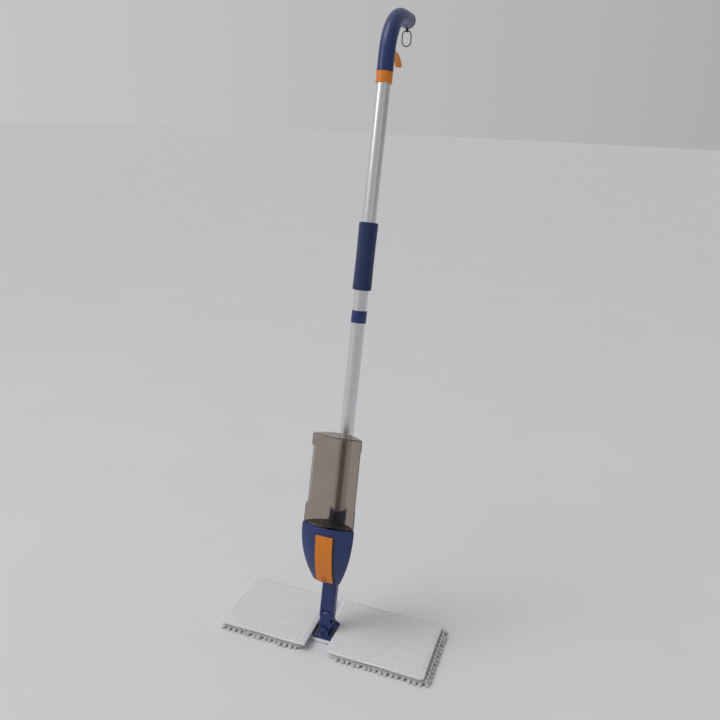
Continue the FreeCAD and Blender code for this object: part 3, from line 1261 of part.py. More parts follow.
def write_parts():
    """Check the whole document, then write one file for each sub-part."""
    doc.recompute()
    for item in doc.Objects:
        if "Invalid" in item.State or "Error" in item.State:
            raise RuntimeError(f"{item.Name} failed: {item.State}")
    for part in SUBPARTS:
        if part.Shape.isNull() or not part.Shape.isValid():
            raise RuntimeError(f"{part.Label} has no valid shape")
    os.makedirs("parts", exist_ok=True)
    for part in SUBPARTS:
        part.Shape.exportStep(f"parts/{part.Label}.step")
        print(f"{part.Label:22s} {part.Shape.Volume / 1000:9.2f} cm3, {len(part.Shape.Solids)} solids")


build()
write_parts()
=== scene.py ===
import json
import math
import random

import bpy
from mathutils import Matrix, Vector

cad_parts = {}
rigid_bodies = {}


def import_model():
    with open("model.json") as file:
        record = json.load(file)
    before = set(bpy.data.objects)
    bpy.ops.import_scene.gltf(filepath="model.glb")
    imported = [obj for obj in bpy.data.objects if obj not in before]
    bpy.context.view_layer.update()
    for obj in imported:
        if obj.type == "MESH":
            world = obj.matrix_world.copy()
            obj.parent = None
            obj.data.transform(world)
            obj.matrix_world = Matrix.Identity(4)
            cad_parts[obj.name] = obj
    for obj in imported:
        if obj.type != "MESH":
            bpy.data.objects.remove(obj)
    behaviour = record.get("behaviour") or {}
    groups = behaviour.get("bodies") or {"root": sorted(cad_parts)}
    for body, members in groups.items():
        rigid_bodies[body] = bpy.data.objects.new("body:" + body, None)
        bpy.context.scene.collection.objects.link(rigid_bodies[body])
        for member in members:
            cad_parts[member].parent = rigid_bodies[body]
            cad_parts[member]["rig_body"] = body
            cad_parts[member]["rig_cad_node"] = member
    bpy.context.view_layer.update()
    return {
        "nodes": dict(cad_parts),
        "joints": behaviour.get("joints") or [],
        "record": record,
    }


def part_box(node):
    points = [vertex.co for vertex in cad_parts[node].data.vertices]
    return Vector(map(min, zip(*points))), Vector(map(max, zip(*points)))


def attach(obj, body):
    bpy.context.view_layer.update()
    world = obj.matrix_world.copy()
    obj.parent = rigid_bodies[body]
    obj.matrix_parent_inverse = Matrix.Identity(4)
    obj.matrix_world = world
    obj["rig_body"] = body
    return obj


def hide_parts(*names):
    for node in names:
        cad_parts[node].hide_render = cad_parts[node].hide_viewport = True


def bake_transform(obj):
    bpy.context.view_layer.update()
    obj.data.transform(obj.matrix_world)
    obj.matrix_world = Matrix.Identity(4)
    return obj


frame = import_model()
print("frame loaded:", len(frame["nodes"]), "nodes")

# The pole leans about the tilt pin. Its pieces are modelled upright and then leaned.
joints = {joint["name"]: joint for joint in frame["joints"]}
poleAxis = Vector(joints["rod_travel"]["axis"])
lean = math.atan2(poleAxis.y, poleAxis.z)
poleMatrix = Matrix.Translation(joints["head_tilt"]["pos_m"]) @ Matrix.Rotation(-lean, 4, "X")
millimetre = 0.001


def poleBox(node):
    back = poleMatrix.inverted()   # measured square to the pole
    points = [back @ vertex.co for vertex in frame["nodes"][node].data.vertices]
    low = Vector(min(point[axis] for point in points) for axis in range(3))
    high = Vector(max(point[axis] for point in points) for axis in range(3))
    return low, high


# Small steps that every piece needs

def deselectAll():
    active = bpy.context.view_layer.objects.active
    if active is not None and active.mode != "OBJECT":
        bpy.ops.object.mode_set(mode="OBJECT")
    bpy.ops.object.select_all(action="DESELECT")


def work(piece, mode="OBJECT"):
    deselectAll()
    piece.select_set(True)
    bpy.context.view_layer.objects.active = piece
    if mode == "EDIT":
        bpy.ops.object.mode_set(mode="EDIT")
    return piece


def newPiece(name):
    piece = bpy.context.object
    piece.name = name
    piece.data.name = name
    return piece


def pickFaces(piece, test):
    bpy.ops.mesh.select_mode(type="FACE")   # test takes a face's centre and its normal
    bpy.ops.mesh.select_all(action="DESELECT")
    bpy.ops.object.mode_set(mode="OBJECT")
    for face in piece.data.polygons:
        face.select = bool(test(face.center, face.normal))
    bpy.ops.object.mode_set(mode="EDIT")


def pickPoints(piece, test):
    bpy.ops.mesh.select_mode(type="VERT")
    bpy.ops.mesh.select_all(action="DESELECT")
    bpy.ops.object.mode_set(mode="OBJECT")
    for vertex in piece.data.vertices:
        vertex.select = bool(test(vertex.co))
    bpy.ops.object.mode_set(mode="EDIT")


def pickEdges(piece, test):
    bpy.ops.mesh.select_mode(type="EDGE")   # test takes an edge's two ends
    bpy.ops.mesh.select_all(action="DESELECT")
    bpy.ops.object.mode_set(mode="OBJECT")
    points = piece.data.vertices
    for edge in piece.data.edges:
        first, last = edge.vertices
        edge.select = bool(test(points[first].co, points[last].co))
    bpy.ops.object.mode_set(mode="EDIT")


def modify(piece, kind, **settings):
    work(piece)
    added = piece.modifiers.new(kind.title(), kind)
    for setting, value in settings.items():
        setattr(added, setting, value)
    bpy.ops.object.modifier_apply(modifier=added.name)


def settle(piece, angle=35):
    work(piece)   # the object ends at the origin, with its place in its mesh
    bpy.ops.object.transform_apply(location=True, rotation=True, scale=True)
    bpy.ops.object.shade_smooth_by_angle(angle=math.radians(angle))
    return piece


def onPole(piece, angle=35):
    piece.matrix_world = poleMatrix @ piece.matrix_world
    return settle(piece, angle)


def finishPiece(piece, body, material, nodes=()):
    piece.data.materials.clear()
    piece.data.materials.append(material)
    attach(piece, body)
    if nodes:
        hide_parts(*nodes)
    return piece


def joinPieces(pieces, name):
    work(pieces[0])
    for piece in pieces[1:]:
        piece.select_set(True)
    bpy.ops.object.join()
    return newPiece(name)


# Shared effects: node groups that put out masks, colours and heights

def newGroup(name, inputs, outputs):
    group = bpy.data.node_groups.new(name, "ShaderNodeTree")
    for title, kind, value in inputs:
        socket = group.interface.new_socket(title, in_out="INPUT", socket_type=kind)
        if value is not None:
            socket.default_value = value
    for title, kind in outputs:
        group.interface.new_socket(title, in_out="OUTPUT", socket_type=kind)
    return group, group.nodes.new("NodeGroupInput"), group.nodes.new("NodeGroupOutput")


def addNode(tree, kind, values=None, **settings):
    node = tree.nodes.new(kind)
    for setting, value in settings.items():
        setattr(node, setting, value)
    for socket, value in (values or {}).items():
        node.inputs[socket].default_value = value
    return node


def makeGrainGroup():
    # the fine texture of a mould, and the soft unevenness of the colour above it
    group, source, sink = newGroup(
        "mouldGrain",
        [("Place", "NodeSocketVector", None), ("Scale", "NodeSocketFloat", 900.0),
         ("Clouds", "NodeSocketFloat", 18.0)],
        [("Height", "NodeSocketFloat"), ("Mottle", "NodeSocketFloat")])
    fine = addNode(group, "ShaderNodeTexNoise", {"Detail": 3.0, "Roughness": 0.6})
    clouds = addNode(group, "ShaderNodeTexNoise", {"Detail": 4.0, "Roughness": 0.55})
    group.links.new(source.outputs["Place"], fine.inputs["Vector"])
    group.links.new(source.outputs["Scale"], fine.inputs["Scale"])
    group.links.new(source.outputs["Place"], clouds.inputs["Vector"])
    group.links.new(source.outputs["Clouds"], clouds.inputs["Scale"])
    group.links.new(fine.outputs["Fac"], sink.inputs["Height"])
    group.links.new(clouds.outputs["Fac"], sink.inputs["Mottle"])
    return group


def makeScuffGroup():
    # short hairline scratches in two directions, gathered in patches
    group, source, sink = newGroup(
        "scuffs",
        [("Place", "NodeSocketVector", None), ("Amount", "NodeSocketFloat", 0.5)],
        [("Mask", "NodeSocketFloat")])
    lines = []
    for turn, stretch in ((0.5, (40, 900, 300)), (-0.8, (700, 60, 500))):
        mapping = addNode(group, "ShaderNodeMapping", {"Rotation": (turn, turn / 2, turn), "Scale": stretch})
        noise = addNode(group, "ShaderNodeTexNoise", {"Scale": 1.0, "Detail": 2.0})
        ramp = addNode(group, "ShaderNodeMapRange", {"From Min": 0.66, "From Max": 0.74})
        group.links.new(source.outputs["Place"], mapping.inputs["Vector"])
        group.links.new(mapping.outputs["Vector"], noise.inputs["Vector"])
        group.links.new(noise.outputs["Fac"], ramp.inputs["Value"])
        lines.append(ramp)
    patches = addNode(group, "ShaderNodeTexNoise", {"Scale": 14.0, "Detail": 3.0})
    patchRamp = addNode(group, "ShaderNodeMapRange", {"From Min": 0.45, "From Max": 0.7})
    both = addNode(group, "ShaderNodeMath", operation="MAXIMUM")
    inPatch = addNode(group, "ShaderNodeMath", operation="MULTIPLY")
    scaled = addNode(group, "ShaderNodeMath", operation="MULTIPLY")
    group.links.new(source.outputs["Place"], patches.inputs["Vector"])
    group.links.new(patches.outputs["Fac"], patchRamp.inputs["Value"])
    group.links.new(lines[0].outputs["Result"], both.inputs[0])
    group.links.new(lines[1].outputs["Result"], both.inputs[1])
    group.links.new(both.outputs["Value"], inPatch.inputs[0])
    group.links.new(patchRamp.outputs["Result"], inPatch.inputs[1])
    group.links.new(inPatch.outputs["Value"], scaled.inputs[0])
    group.links.new(source.outputs["Amount"], scaled.inputs[1])
    group.links.new(scaled.outputs["Value"], sink.inputs["Mask"])
    return group


def makeDustGroup():
    # dust that lies on faces that look up, thinner where it has been wiped
    group, source, sink = newGroup(
        "dust",
        [("Place", "NodeSocketVector", None), ("Amount", "NodeSocketFloat", 0.3)],
        [("Mask", "NodeSocketFloat")])
    geometry = addNode(group, "ShaderNodeNewGeometry")
    split = addNode(group, "ShaderNodeSeparateXYZ")
    upward = addNode(group, "ShaderNodeMapRange", {"From Min": 0.2, "From Max": 0.95})
    specks = addNode(group, "ShaderNodeTexNoise", {"Scale": 260.0, "Detail": 5.0, "Roughness": 0.7})
    speckRamp = addNode(group, "ShaderNodeMapRange", {"From Min": 0.42, "From Max": 0.68})
    lying = addNode(group, "ShaderNodeMath", operation="MULTIPLY")
    scaled = addNode(group, "ShaderNodeMath", operation="MULTIPLY")
    group.links.new(geometry.outputs["Normal"], split.inputs["Vector"])
    group.links.new(split.outputs["Z"], upward.inputs["Value"])
    group.links.new(source.outputs["Place"], specks.inputs["Vector"])
    group.links.new(specks.outputs["Fac"], speckRamp.inputs["Value"])
    group.links.new(upward.outputs["Result"], lying.inputs[0])
    group.links.new(speckRamp.outputs["Result"], lying.inputs[1])
    group.links.new(lying.outputs["Value"], scaled.inputs[0])
    group.links.new(source.outputs["Amount"], scaled.inputs[1])
    group.links.new(scaled.outputs["Value"], sink.inputs["Mask"])
    return group


def makeKnitGroup():
    # rows of small stitches along X, each row a little uneven; the Shade output is painted shade, darker where the knit
    # sits low between rows and stitches
    group, source, sink = newGroup(
        "knitRows",
        [("Place", "NodeSocketVector", None), ("Row", "NodeSocketFloat", 0.0024),
         ("Stitch", "NodeSocketFloat", 0.0018)],
        [("Height", "NodeSocketFloat"), ("Shade", "NodeSocketFloat")])
    wander = addNode(group, "ShaderNodeTexNoise", {"Scale": 35.0, "Detail": 2.0})
    wanderBy = addNode(group, "ShaderNodeVectorMath", {"Scale": 0.0016}, operation="SCALE")
    moved = addNode(group, "ShaderNodeVectorMath", operation="ADD")
    split = addNode(group, "ShaderNodeSeparateXYZ")
    group.links.new(source.outputs["Place"], wander.inputs["Vector"])
    group.links.new(wander.outputs["Color"], wanderBy.inputs[0])
    group.links.new(source.outputs["Place"], moved.inputs[0])
    group.links.new(wanderBy.outputs["Vector"], moved.inputs[1])
    group.links.new(moved.outputs["Vector"], split.inputs["Vector"])
    waves = []
    for axis, size in (("Y", "Row"), ("X", "Stitch")):
        share = addNode(group, "ShaderNodeMath", operation="DIVIDE")
        turn = addNode(group, "ShaderNodeMath", {1: 2 * math.pi}, operation="MULTIPLY")
        wave = addNode(group, "ShaderNodeMath", operation="SINE")
        group.links.new(split.outputs[axis], share.inputs[0])
        group.links.new(source.outputs[size], share.inputs[1])
        group.links.new(share.outputs["Value"], turn.inputs[0])
        group.links.new(turn.outputs["Value"], wave.inputs[0])
        waves.append(wave)
    halfStitch = addNode(group, "ShaderNodeMath", {1: 0.45}, operation="MULTIPLY")
    together = addNode(group, "ShaderNodeMath", operation="ADD")
    fibres = addNode(group, "ShaderNodeTexNoise", {"Scale": 1400.0, "Detail": 4.0, "Roughness": 0.7})
    fibresBy = addNode(group, "ShaderNodeMath", {1: 1.4}, operation="MULTIPLY")
    height = addNode(group, "ShaderNodeMath", operation="ADD")
    # painted shade: Shade follows the height, so the low parts between rows and stitches come out darker; the fibre
    # noise adds random tone
    shade = addNode(group, "ShaderNodeMapRange", {"From Min": -0.9, "From Max": 1.9})
    group.links.new(waves[1].outputs["Value"], halfStitch.inputs[0])
    group.links.new(waves[0].outputs["Value"], together.inputs[0])
    group.links.new(halfStitch.outputs["Value"], together.inputs[1])
    group.links.new(source.outputs["Place"], fibres.inputs["Vector"])
    group.links.new(fibres.outputs["Fac"], fibresBy.inputs[0])
    group.links.new(together.outputs["Value"], height.inputs[0])
    group.links.new(fibresBy.outputs["Value"], height.inputs[1])
    group.links.new(height.outputs["Value"], shade.inputs["Value"])
    group.links.new(height.outputs["Value"], sink.inputs["Height"])
    group.links.new(shade.outputs["Result"], sink.inputs["Shade"])
    return group


mouldGrain = makeGrainGroup()
scuffs = makeScuffGroup()
dust = makeDustGroup()
knitRows = makeKnitGroup()
print("shared effects ready")


# Materials

def startMaterial(name, **constants):
    material = bpy.data.materials.new(name)
    material.use_nodes = True
    tree = material.node_tree
    shader = tree.nodes["Principled BSDF"]
    for socket, value in constants.items():
        shader.inputs[socket].default_value = value
    place = tree.nodes.new("ShaderNodeTexCoord").outputs["Object"]
    return material, tree, shader, place


def placeGroup(tree, group, place, **values):
    node = tree.nodes.new("ShaderNodeGroup")
    node.node_tree = group
    tree.links.new(place, node.inputs["Place"])
    for socket, value in values.items():
        node.inputs[socket].default_value = value
    return node


def mixColours(tree, factor, low, high):
    mix = addNode(tree, "ShaderNodeMix", data_type="RGBA")
    tree.links.new(factor, mix.inputs["Factor"])
    for socket, value in ((mix.inputs[6], low), (mix.inputs[7], high)):
        if isinstance(value, bpy.types.NodeSocket):
            tree.links.new(value, socket)
        else:
            socket.default_value = (*value, 1.0)
    return mix.outputs[2]


def mixValues(tree, factor, low, high):
    ramp = addNode(tree, "ShaderNodeMapRange", {"To Min": low, "To Max": high})
    tree.links.new(factor, ramp.inputs["Value"])
    return ramp.outputs["Result"]


def addBump(tree, shader, height, distance, strength=1.0):
    bump = addNode(tree, "ShaderNodeBump", {"Strength": strength, "Distance": distance})
    tree.links.new(height, bump.inputs["Height"])
    tree.links.new(bump.outputs["Normal"], shader.inputs["Normal"])


def makePlastic(name, dark, light, worn, gloss, grain, **constants):
    # moulded plastic: uneven colour, hairline scuffs that show paler, dust on what looks up
    material, tree, shader, place = startMaterial(name, **constants)
    moulded = placeGroup(tree, mouldGrain, place, Scale=grain["scale"])
    scratched = placeGroup(tree, scuffs, place, Amount=grain["scuffs"])
    dusty = placeGroup(tree, dust, place, Amount=grain["dust"])
    colour = mixColours(tree, moulded.outputs["Mottle"], dark, light)
    colour = mixColours(tree, scratched.outputs["Mask"], colour, worn)
    colour = mixColours(tree, dusty.outputs["Mask"], colour, (0.42, 0.42, 0.43))
    tree.links.new(colour, shader.inputs["Base Color"])
    roughness = mixValues(tree, moulded.outputs["Mottle"], *gloss)
    tree.links.new(roughness, shader.inputs["Roughness"])
    addBump(tree, shader, moulded.outputs["Height"], grain["depth"])
    return material


def makeAluminium():
    # drawn tube: hairlines along the pole, a trace of handling marks
    material, tree, shader, place = startMaterial("satinAluminium", Metallic=1.0)
    along = addNode(tree, "ShaderNodeMapping", {"Rotation": (lean, 0, 0), "Scale": (1400, 1400, 5)})
    tree.links.new(place, along.inputs["Vector"])
    hairlines = addNode(tree, "ShaderNodeTexNoise", {"Scale": 1.0, "Detail": 3.0, "Roughness": 0.6})
    tree.links.new(along.outputs["Vector"], hairlines.inputs["Vector"])
    moulded = placeGroup(tree, mouldGrain, place, Clouds=30.0)
    scratched = placeGroup(tree, scuffs, place, Amount=0.35)
    colour = mixColours(tree, hairlines.outputs["Fac"], (0.62, 0.62, 0.64), (0.86, 0.86, 0.87))
    colour = mixColours(tree, scratched.outputs["Mask"], colour, (0.45, 0.45, 0.46))
    tree.links.new(colour, shader.inputs["Base Color"])
    tree.links.new(mixValues(tree, moulded.outputs["Mottle"], 0.24, 0.38), shader.inputs["Roughness"])
    addBump(tree, shader, hairlines.outputs["Fac"], 0.00004)
    return material


def makeSteel():
    material, tree, shader, place = startMaterial("zincSteel", Metallic=1.0)
    moulded = placeGroup(tree, mouldGrain, place, Scale=2200.0, Clouds=60.0)
    colour = mixColours(tree, moulded.outputs["Mottle"], (0.5, 0.5, 0.5), (0.72, 0.72, 0.7))
    tree.links.new(colour, shader.inputs["Base Color"])
    tree.links.new(mixValues(tree, moulded.outputs["Mottle"], 0.28, 0.45), shader.inputs["Roughness"])
    addBump(tree, shader, moulded.outputs["Height"], 0.00003)
    return material


def makeFoam():
    # closed-cell sleeve: matte, with fine pores and a slightly rubbed middle
    material, tree, shader, place = startMaterial("gripFoam", **{"Sheen Weight": 0.25, "Sheen Roughness": 0.5})
    pores = addNode(tree, "ShaderNodeTexVoronoi", {"Scale": 900.0}, feature="SMOOTH_F1")
    tree.links.new(place, pores.inputs["Vector"])
    moulded = placeGroup(tree, mouldGrain, place, Scale=500.0, Clouds=25.0)
    dusty = placeGroup(tree, dust, place, Amount=0.12)
    colour = mixColours(tree, moulded.outputs["Mottle"], (0.006, 0.016, 0.07), (0.012, 0.033, 0.12))
    colour = mixColours(tree, dusty.outputs["Mask"], colour, (0.2, 0.2, 0.22))
    tree.links.new(colour, shader.inputs["Base Color"])
    tree.links.new(mixValues(tree, moulded.outputs["Mottle"], 0.75, 0.95), shader.inputs["Roughness"])
    addBump(tree, shader, pores.outputs["Distance"], 0.0005, 0.7)
    return material


def makeSmokePlastic():
    # tinted blow-moulded bottle: faint ripples in the wall and fine scratches
    material, tree, shader, place = startMaterial(
        "smokePlastic", **{"Transmission Weight": 1.0, "IOR": 1.25, "Metallic": 0.0})
    moulded = placeGroup(tree, mouldGrain, place, Scale=500.0, Clouds=24.0)
    scratched = placeGroup(tree, scuffs, place, Amount=0.25)
    colour = mixColours(tree, moulded.outputs["Mottle"], (0.60, 0.545, 0.50), (0.68, 0.625, 0.575))
    tree.links.new(colour, shader.inputs["Base Color"])
    tree.links.new(mixValues(tree, scratched.outputs["Mask"], 0.12, 0.4), shader.inputs["Roughness"])
    addBump(tree, shader, moulded.outputs["Mottle"], 0.0012, 0.5)
    return material


def makeKnitFabric():
    # knitted microfibre: ribs, stitches and loose fibres, greyer between the rows as painted shade
    material, tree, shader, place = startMaterial(
        "knitMicrofibre", **{"Sheen Weight": 0.35, "Sheen Roughness": 0.6})
    knitted = placeGroup(tree, knitRows, place)
    moulded = placeGroup(tree, mouldGrain, place, Scale=300.0, Clouds=22.0)
    # painted shade: the knit colour goes darker grey where it sits low between rows and stitches
    rowShadedColour = mixColours(tree, knitted.outputs["Shade"], (0.62, 0.62, 0.645), (0.92, 0.92, 0.94))
    soiled = mixColours(tree, moulded.outputs["Mottle"], (0.84, 0.835, 0.84), (0.93, 0.93, 0.95))
    blended = addNode(tree, "ShaderNodeMix", {"Factor": 0.5}, data_type="RGBA")
    tree.links.new(rowShadedColour, blended.inputs[6])
    tree.links.new(soiled, blended.inputs[7])
    tree.links.new(blended.outputs[2], shader.inputs["Base Color"])
    tree.links.new(mixValues(tree, knitted.outputs["Shade"], 0.95, 0.8), shader.inputs["Roughness"])
    addBump(tree, shader, knitted.outputs["Height"], 0.0005, 0.8)
    return material


def makeChenille():
    # fluffy pile: soft lumps and loose fibres, a little warmer than the knit, with painted shade between the tufts
    material, tree, shader, place = startMaterial(
        "chenillePile", **{"Sheen Weight": 0.6, "Sheen Roughness": 0.5})
    tufts = addNode(tree, "ShaderNodeTexVoronoi", {"Scale": 420.0}, feature="SMOOTH_F1")
    tree.links.new(place, tufts.inputs["Vector"])
    fibres = addNode(tree, "ShaderNodeTexNoise", {"Scale": 1500.0, "Detail": 4.0, "Roughness": 0.75})
    tree.links.new(place, fibres.inputs["Vector"])
    height = addNode(tree, "ShaderNodeMath", operation="SUBTRACT")
    tree.links.new(fibres.outputs["Fac"], height.inputs[0])
    tree.links.new(tufts.outputs["Distance"], height.inputs[1])
    moulded = placeGroup(tree, mouldGrain, place, Scale=300.0, Clouds=45.0)
    colour = mixColours(tree, moulded.outputs["Mottle"], (0.62, 0.60, 0.59), (0.86, 0.85, 0.84))
    # painted shade: darker away from the tuft centres, in the hollows between tufts
    tuftShade = addNode(tree, "ShaderNodeMapRange", {"From Min": 0.1, "From Max": 0.75})
    tree.links.new(tufts.outputs["Distance"], tuftShade.inputs["Value"])
    colour = mixColours(tree, tuftShade.outputs["Result"], colour, (0.48, 0.465, 0.455))
    tree.links.new(colour, shader.inputs["Base Color"])
    tree.links.new(mixValues(tree, moulded.outputs["Mottle"], 0.85, 1.0), shader.inputs["Roughness"])
    addBump(tree, shader, height.outputs["Value"], 0.0012, 0.9)
    return material


bluePlastic = makePlastic(
    "bluePlastic", (0.006, 0.022, 0.115), (0.010, 0.032, 0.15), (0.05, 0.08, 0.2), (0.28, 0.42),
    {"scale": 1100.0, "depth": 0.00005, "scuffs": 0.35, "dust": 0.16}, **{"Coat Weight": 0.12})
orangePlastic = makePlastic(
    "orangePlastic", (0.66, 0.175, 0.004), (0.78, 0.235, 0.008), (0.85, 0.4, 0.12), (0.3, 0.45),
    {"scale": 1100.0, "depth": 0.00005, "scuffs": 0.3, "dust": 0.1})
blackPlastic = makePlastic(
    "blackPlastic", (0.008, 0.008, 0.009), (0.018, 0.018, 0.02), (0.08, 0.08, 0.08), (0.38, 0.6),
    {"scale": 900.0, "depth": 0.00008, "scuffs": 0.3, "dust": 0.15})
greyRod = makePlastic(
    "greyRod", (0.42, 0.42, 0.43), (0.55, 0.55, 0.56), (0.7, 0.7, 0.7), (0.4, 0.6),
    {"scale": 900.0, "depth": 0.00006, "scuffs": 0.3, "dust": 0.1})
softRubber = makePlastic(
    "softRubber", (0.02, 0.02, 0.02), (0.05, 0.05, 0.05), (0.09, 0.09, 0.09), (0.6, 0.85),
    {"scale": 700.0, "depth": 0.0001, "scuffs": 0.15, "dust": 0.25})
aluminium = makeAluminium()
steel = makeSteel()
gripFoam = makeFoam()
smokePlastic = makeSmokePlastic()
knitFabric = makeKnitFabric()
chenille = makeChenille()
finishes = {"blue_plastic": bluePlastic, "orange_plastic": orangePlastic, "black_plastic": blackPlastic,
            "rod_plastic": greyRod, "rubber": softRubber, "aluminium_tube": aluminium, "steel": steel,
            "foam": gripFoam, "clear_tank": smokePlastic, "microfibre": knitFabric}
for subpart in frame["record"]["subparts"]:
    node = frame["nodes"][subpart["node"]]
    node.data.materials.clear()
    node.data.materials.append(finishes[subpart["material_slot"]])
print("materials ready")


# Pad: on each wing a knitted pocket, its backing and the chenille pile underneath

padLook = {
    "mouth": {"left": 0.022, "right": 0.018},   # how near the middle each pocket's mouth comes
    "rootStart": 0.0305,    # nearer the middle than this, only the pocket's upper layer is left
    "mouthThick": 0.0036,
    "endInset": {"left": 0.0015, "right": 0.0085},   # the pile stands out past the pocket at its outer end
    "sideInset": 0.0005,
    "low": 0.0088, "high": 0.0178,
    "rimWide": 0.0100, "rimLift": 0.0046,   # the sewn rim is thinner than the middle
    "flapBack": 0.034, "flapReach": 0.019,  # behind the joint the right pocket runs on over the base
    "corner": 0.009,
    "voxel": 0.0021, "pressure": 2.4, "mostMove": 0.0012, "steps": 20,
    "ribPitch": 0.0052, "ribHeight": 0.00038, "stitchPitch": 0.0062,
    "hemInset": 0.0072, "hemWidth": 0.0011, "hemDepth": 0.0008,
}
pileLook = {
    "backing": (0.0042, 0.0080),   # lower and upper face of the cloth that holds the pile
    "radius": 0.0047, "long": 0.0180, "pitch": 0.0108,
    "rootHeight": 0.0082, "reach": {"side": 0.0125, "left": 0.0135, "right": 0.0100},
    "bend": 47.0,
    "rowPitch": 0.0165, "underHeight": 0.0052,
    "seed": 7,
}


def puff(piece, pressure, mostMove, steps):
    rest = [vertex.co.copy() for vertex in piece.data.vertices]
    work(piece)
    cloth = piece.modifiers.new("Cloth", "CLOTH")
    cloth.settings.use_pressure = True
    cloth.settings.uniform_pressure_force = pressure
    cloth.settings.effector_weights.gravity = 0
    cloth.settings.tension_stiffness = 25
    cloth.settings.bending_stiffness = 2
    cloth.point_cache.frame_end = steps
    for step in range(1, steps + 1):
        bpy.context.scene.frame_set(step)
    bpy.ops.object.modifier_apply(modifier=cloth.name)
    bpy.context.scene.frame_set(1)
    for vertex, start in zip(piece.data.vertices, rest):
        move = vertex.co - start
        if move.length > mostMove:
            vertex.co = start + move * (mostMove / move.length)


def makeCover(side):
    node, sign = ("pad_left", -1) if side == "left" else ("pad_right", 1)
    low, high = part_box(node)
    far = (low.x if sign < 0 else high.x) - sign * padLook["endInset"][side]
    near = sign * padLook["mouth"][side]
    front, back = low.y + padLook["sideInset"], high.y - padLook["sideInset"]
    floorZ, topZ = padLook["low"], padLook["high"]
    deselectAll()
    bpy.ops.mesh.primitive_cube_add(
        size=1, location=((near + far) / 2, (front + back) / 2, (floorZ + topZ) / 2),
        scale=(abs(far - near), back - front, topZ - floorZ))
    cover = newPiece(f"padPocket{side.title()}")
    bpy.ops.object.transform_apply(location=True, rotation=True, scale=True)
    work(cover, "EDIT")
    for cut in (padLook["rootStart"], padLook["rootStart"] + 0.0015):
        bpy.ops.mesh.select_all(action="SELECT")
        bpy.ops.mesh.bisect(plane_co=(sign * cut, 0, 0), plane_no=(1, 0, 0))
    pickPoints(cover, lambda spot: spot.z < topZ - 0.001 and abs(spot.x) < padLook["rootStart"] + 0.0001)
    bpy.ops.transform.translate(value=(0, 0, topZ - floorZ - padLook["mouthThick"]))
    pickEdges(cover, lambda one, two: abs(one.x - far) < 1e-5 and abs(two.x - far) < 1e-5
              and abs(one.z - two.z) > 0.001)
    bpy.ops.mesh.bevel(offset=padLook["corner"], segments=5, affect="EDGES")
    if side == "right":
        for cut in (padLook["flapBack"] - 0.012, padLook["flapBack"]):
            bpy.ops.mesh.select_all(action="SELECT")
            bpy.ops.mesh.bisect(plane_co=(0, cut, 0), plane_no=(0, 1, 0))
        pickPoints(cover, lambda spot: abs(spot.x - near) < 1e-5 and spot.y > padLook["flapBack"] - 0.0001)
        bpy.ops.transform.translate(value=(-padLook["flapReach"], 0, 0))
    pickFaces(cover, lambda centre, normal: normal.z < -0.9 and centre.z < floorZ + 0.001)
    bpy.ops.mesh.inset(thickness=padLook["rimWide"])
    rim = padLook["rimWide"] - 0.001
    pickPoints(cover, lambda spot: spot.z < floorZ + 0.001
               and (min(spot.y - front, back - spot.y) < rim or abs(spot.x - far) < rim))
    bpy.ops.transform.translate(value=(0, 0, padLook["rimLift"]))
    modify(cover, "REMESH", mode="VOXEL", voxel_size=padLook["voxel"])
    puff(cover, padLook["pressure"], padLook["mostMove"], padLook["steps"])
    modify(cover, "SMOOTH", factor=0.5, iterations=2)
    modify(cover, "SUBSURF", levels=1, render_levels=1)
    shapeKnit(cover, near, far, front, back)
    settle(cover, 60)
    finishPiece(cover, f"{side}_half", knitFabric, [node])
    return cover


def shapeKnit(cover, near, far, front, back):
    # ribs across the top, and the sewn line that runs round inside the edge
    left, right = min(near, far), max(near, far)
    for vertex in cover.data.vertices:
        spot = vertex.co
        if vertex.normal.z < 0.3:
            continue
        rim = min(spot.y - front, back - spot.y, abs(spot.x - far), abs(spot.x - near))
        rib = math.cos(2 * math.pi * (spot.y + 0.0006 * math.sin(spot.x * 90)) / padLook["ribPitch"])
        hem = math.exp(-((rim - padLook["hemInset"]) / padLook["hemWidth"]) ** 2)
        spot.z += padLook["ribHeight"] * rib * (1 - hem) - padLook["hemDepth"] * hem


def makeHemStitches(side):
    # one short thread for each stitch along the sewn line
    node, sign = ("pad_left", -1) if side == "left" else ("pad_right", 1)
    low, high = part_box(node)
    inset = padLook["hemInset"]
    far = (low.x if sign < 0 else high.x) - sign * (padLook["endInset"][side] + inset)
    near = sign * (padLook["mouth"][side] + inset)
    front, back = low.y + padLook["sideInset"] + inset, high.y - padLook["sideInset"] - inset
    deselectAll()
    bpy.ops.mesh.primitive_uv_sphere_add(segments=6, ring_count=4, radius=0.0004)
    stitch = newPiece("stitch")
    work(stitch, "EDIT")
    bpy.ops.transform.resize(value=(4.2, 1.0, 0.8))
    deselectAll()
    copies = []
    surface = bpy.data.objects[f"padPocket{side.title()}"]
    left, right = min(near, far), max(near, far)
    runs = [((left, front), (right, front), 0), ((left, back), (right, back), 0),
            ((far, front), (far, back), math.pi / 2), ((near, front), (near, back), math.pi / 2)]
    for start, end, turn in runs:
        length = math.dist(start, end)
        count = int(length / padLook["stitchPitch"])
        for step in range(count + 1):
            share = step / count
            x = start[0] + share * (end[0] - start[0])
            y = start[1] + share * (end[1] - start[1])
            hit, spot, normal, index = surface.ray_cast(Vector((x, y, 0.05)), Vector((0, 0, -1)))
            if not hit:
                continue
            copy = stitch.copy()
            copy.data = stitch.data.copy()
            bpy.context.collection.objects.link(copy)
            copy.location = (x, y, spot.z + 0.0001)
            copy.rotation_euler = (0, 0, turn)
            copies.append(copy)
    bpy.data.objects.remove(stitch)
    stitches = joinPieces(copies, f"hemStitches{side.title()}")
    settle(stitches, 60)
    return finishPiece(stitches, f"{side}_half", chenille)


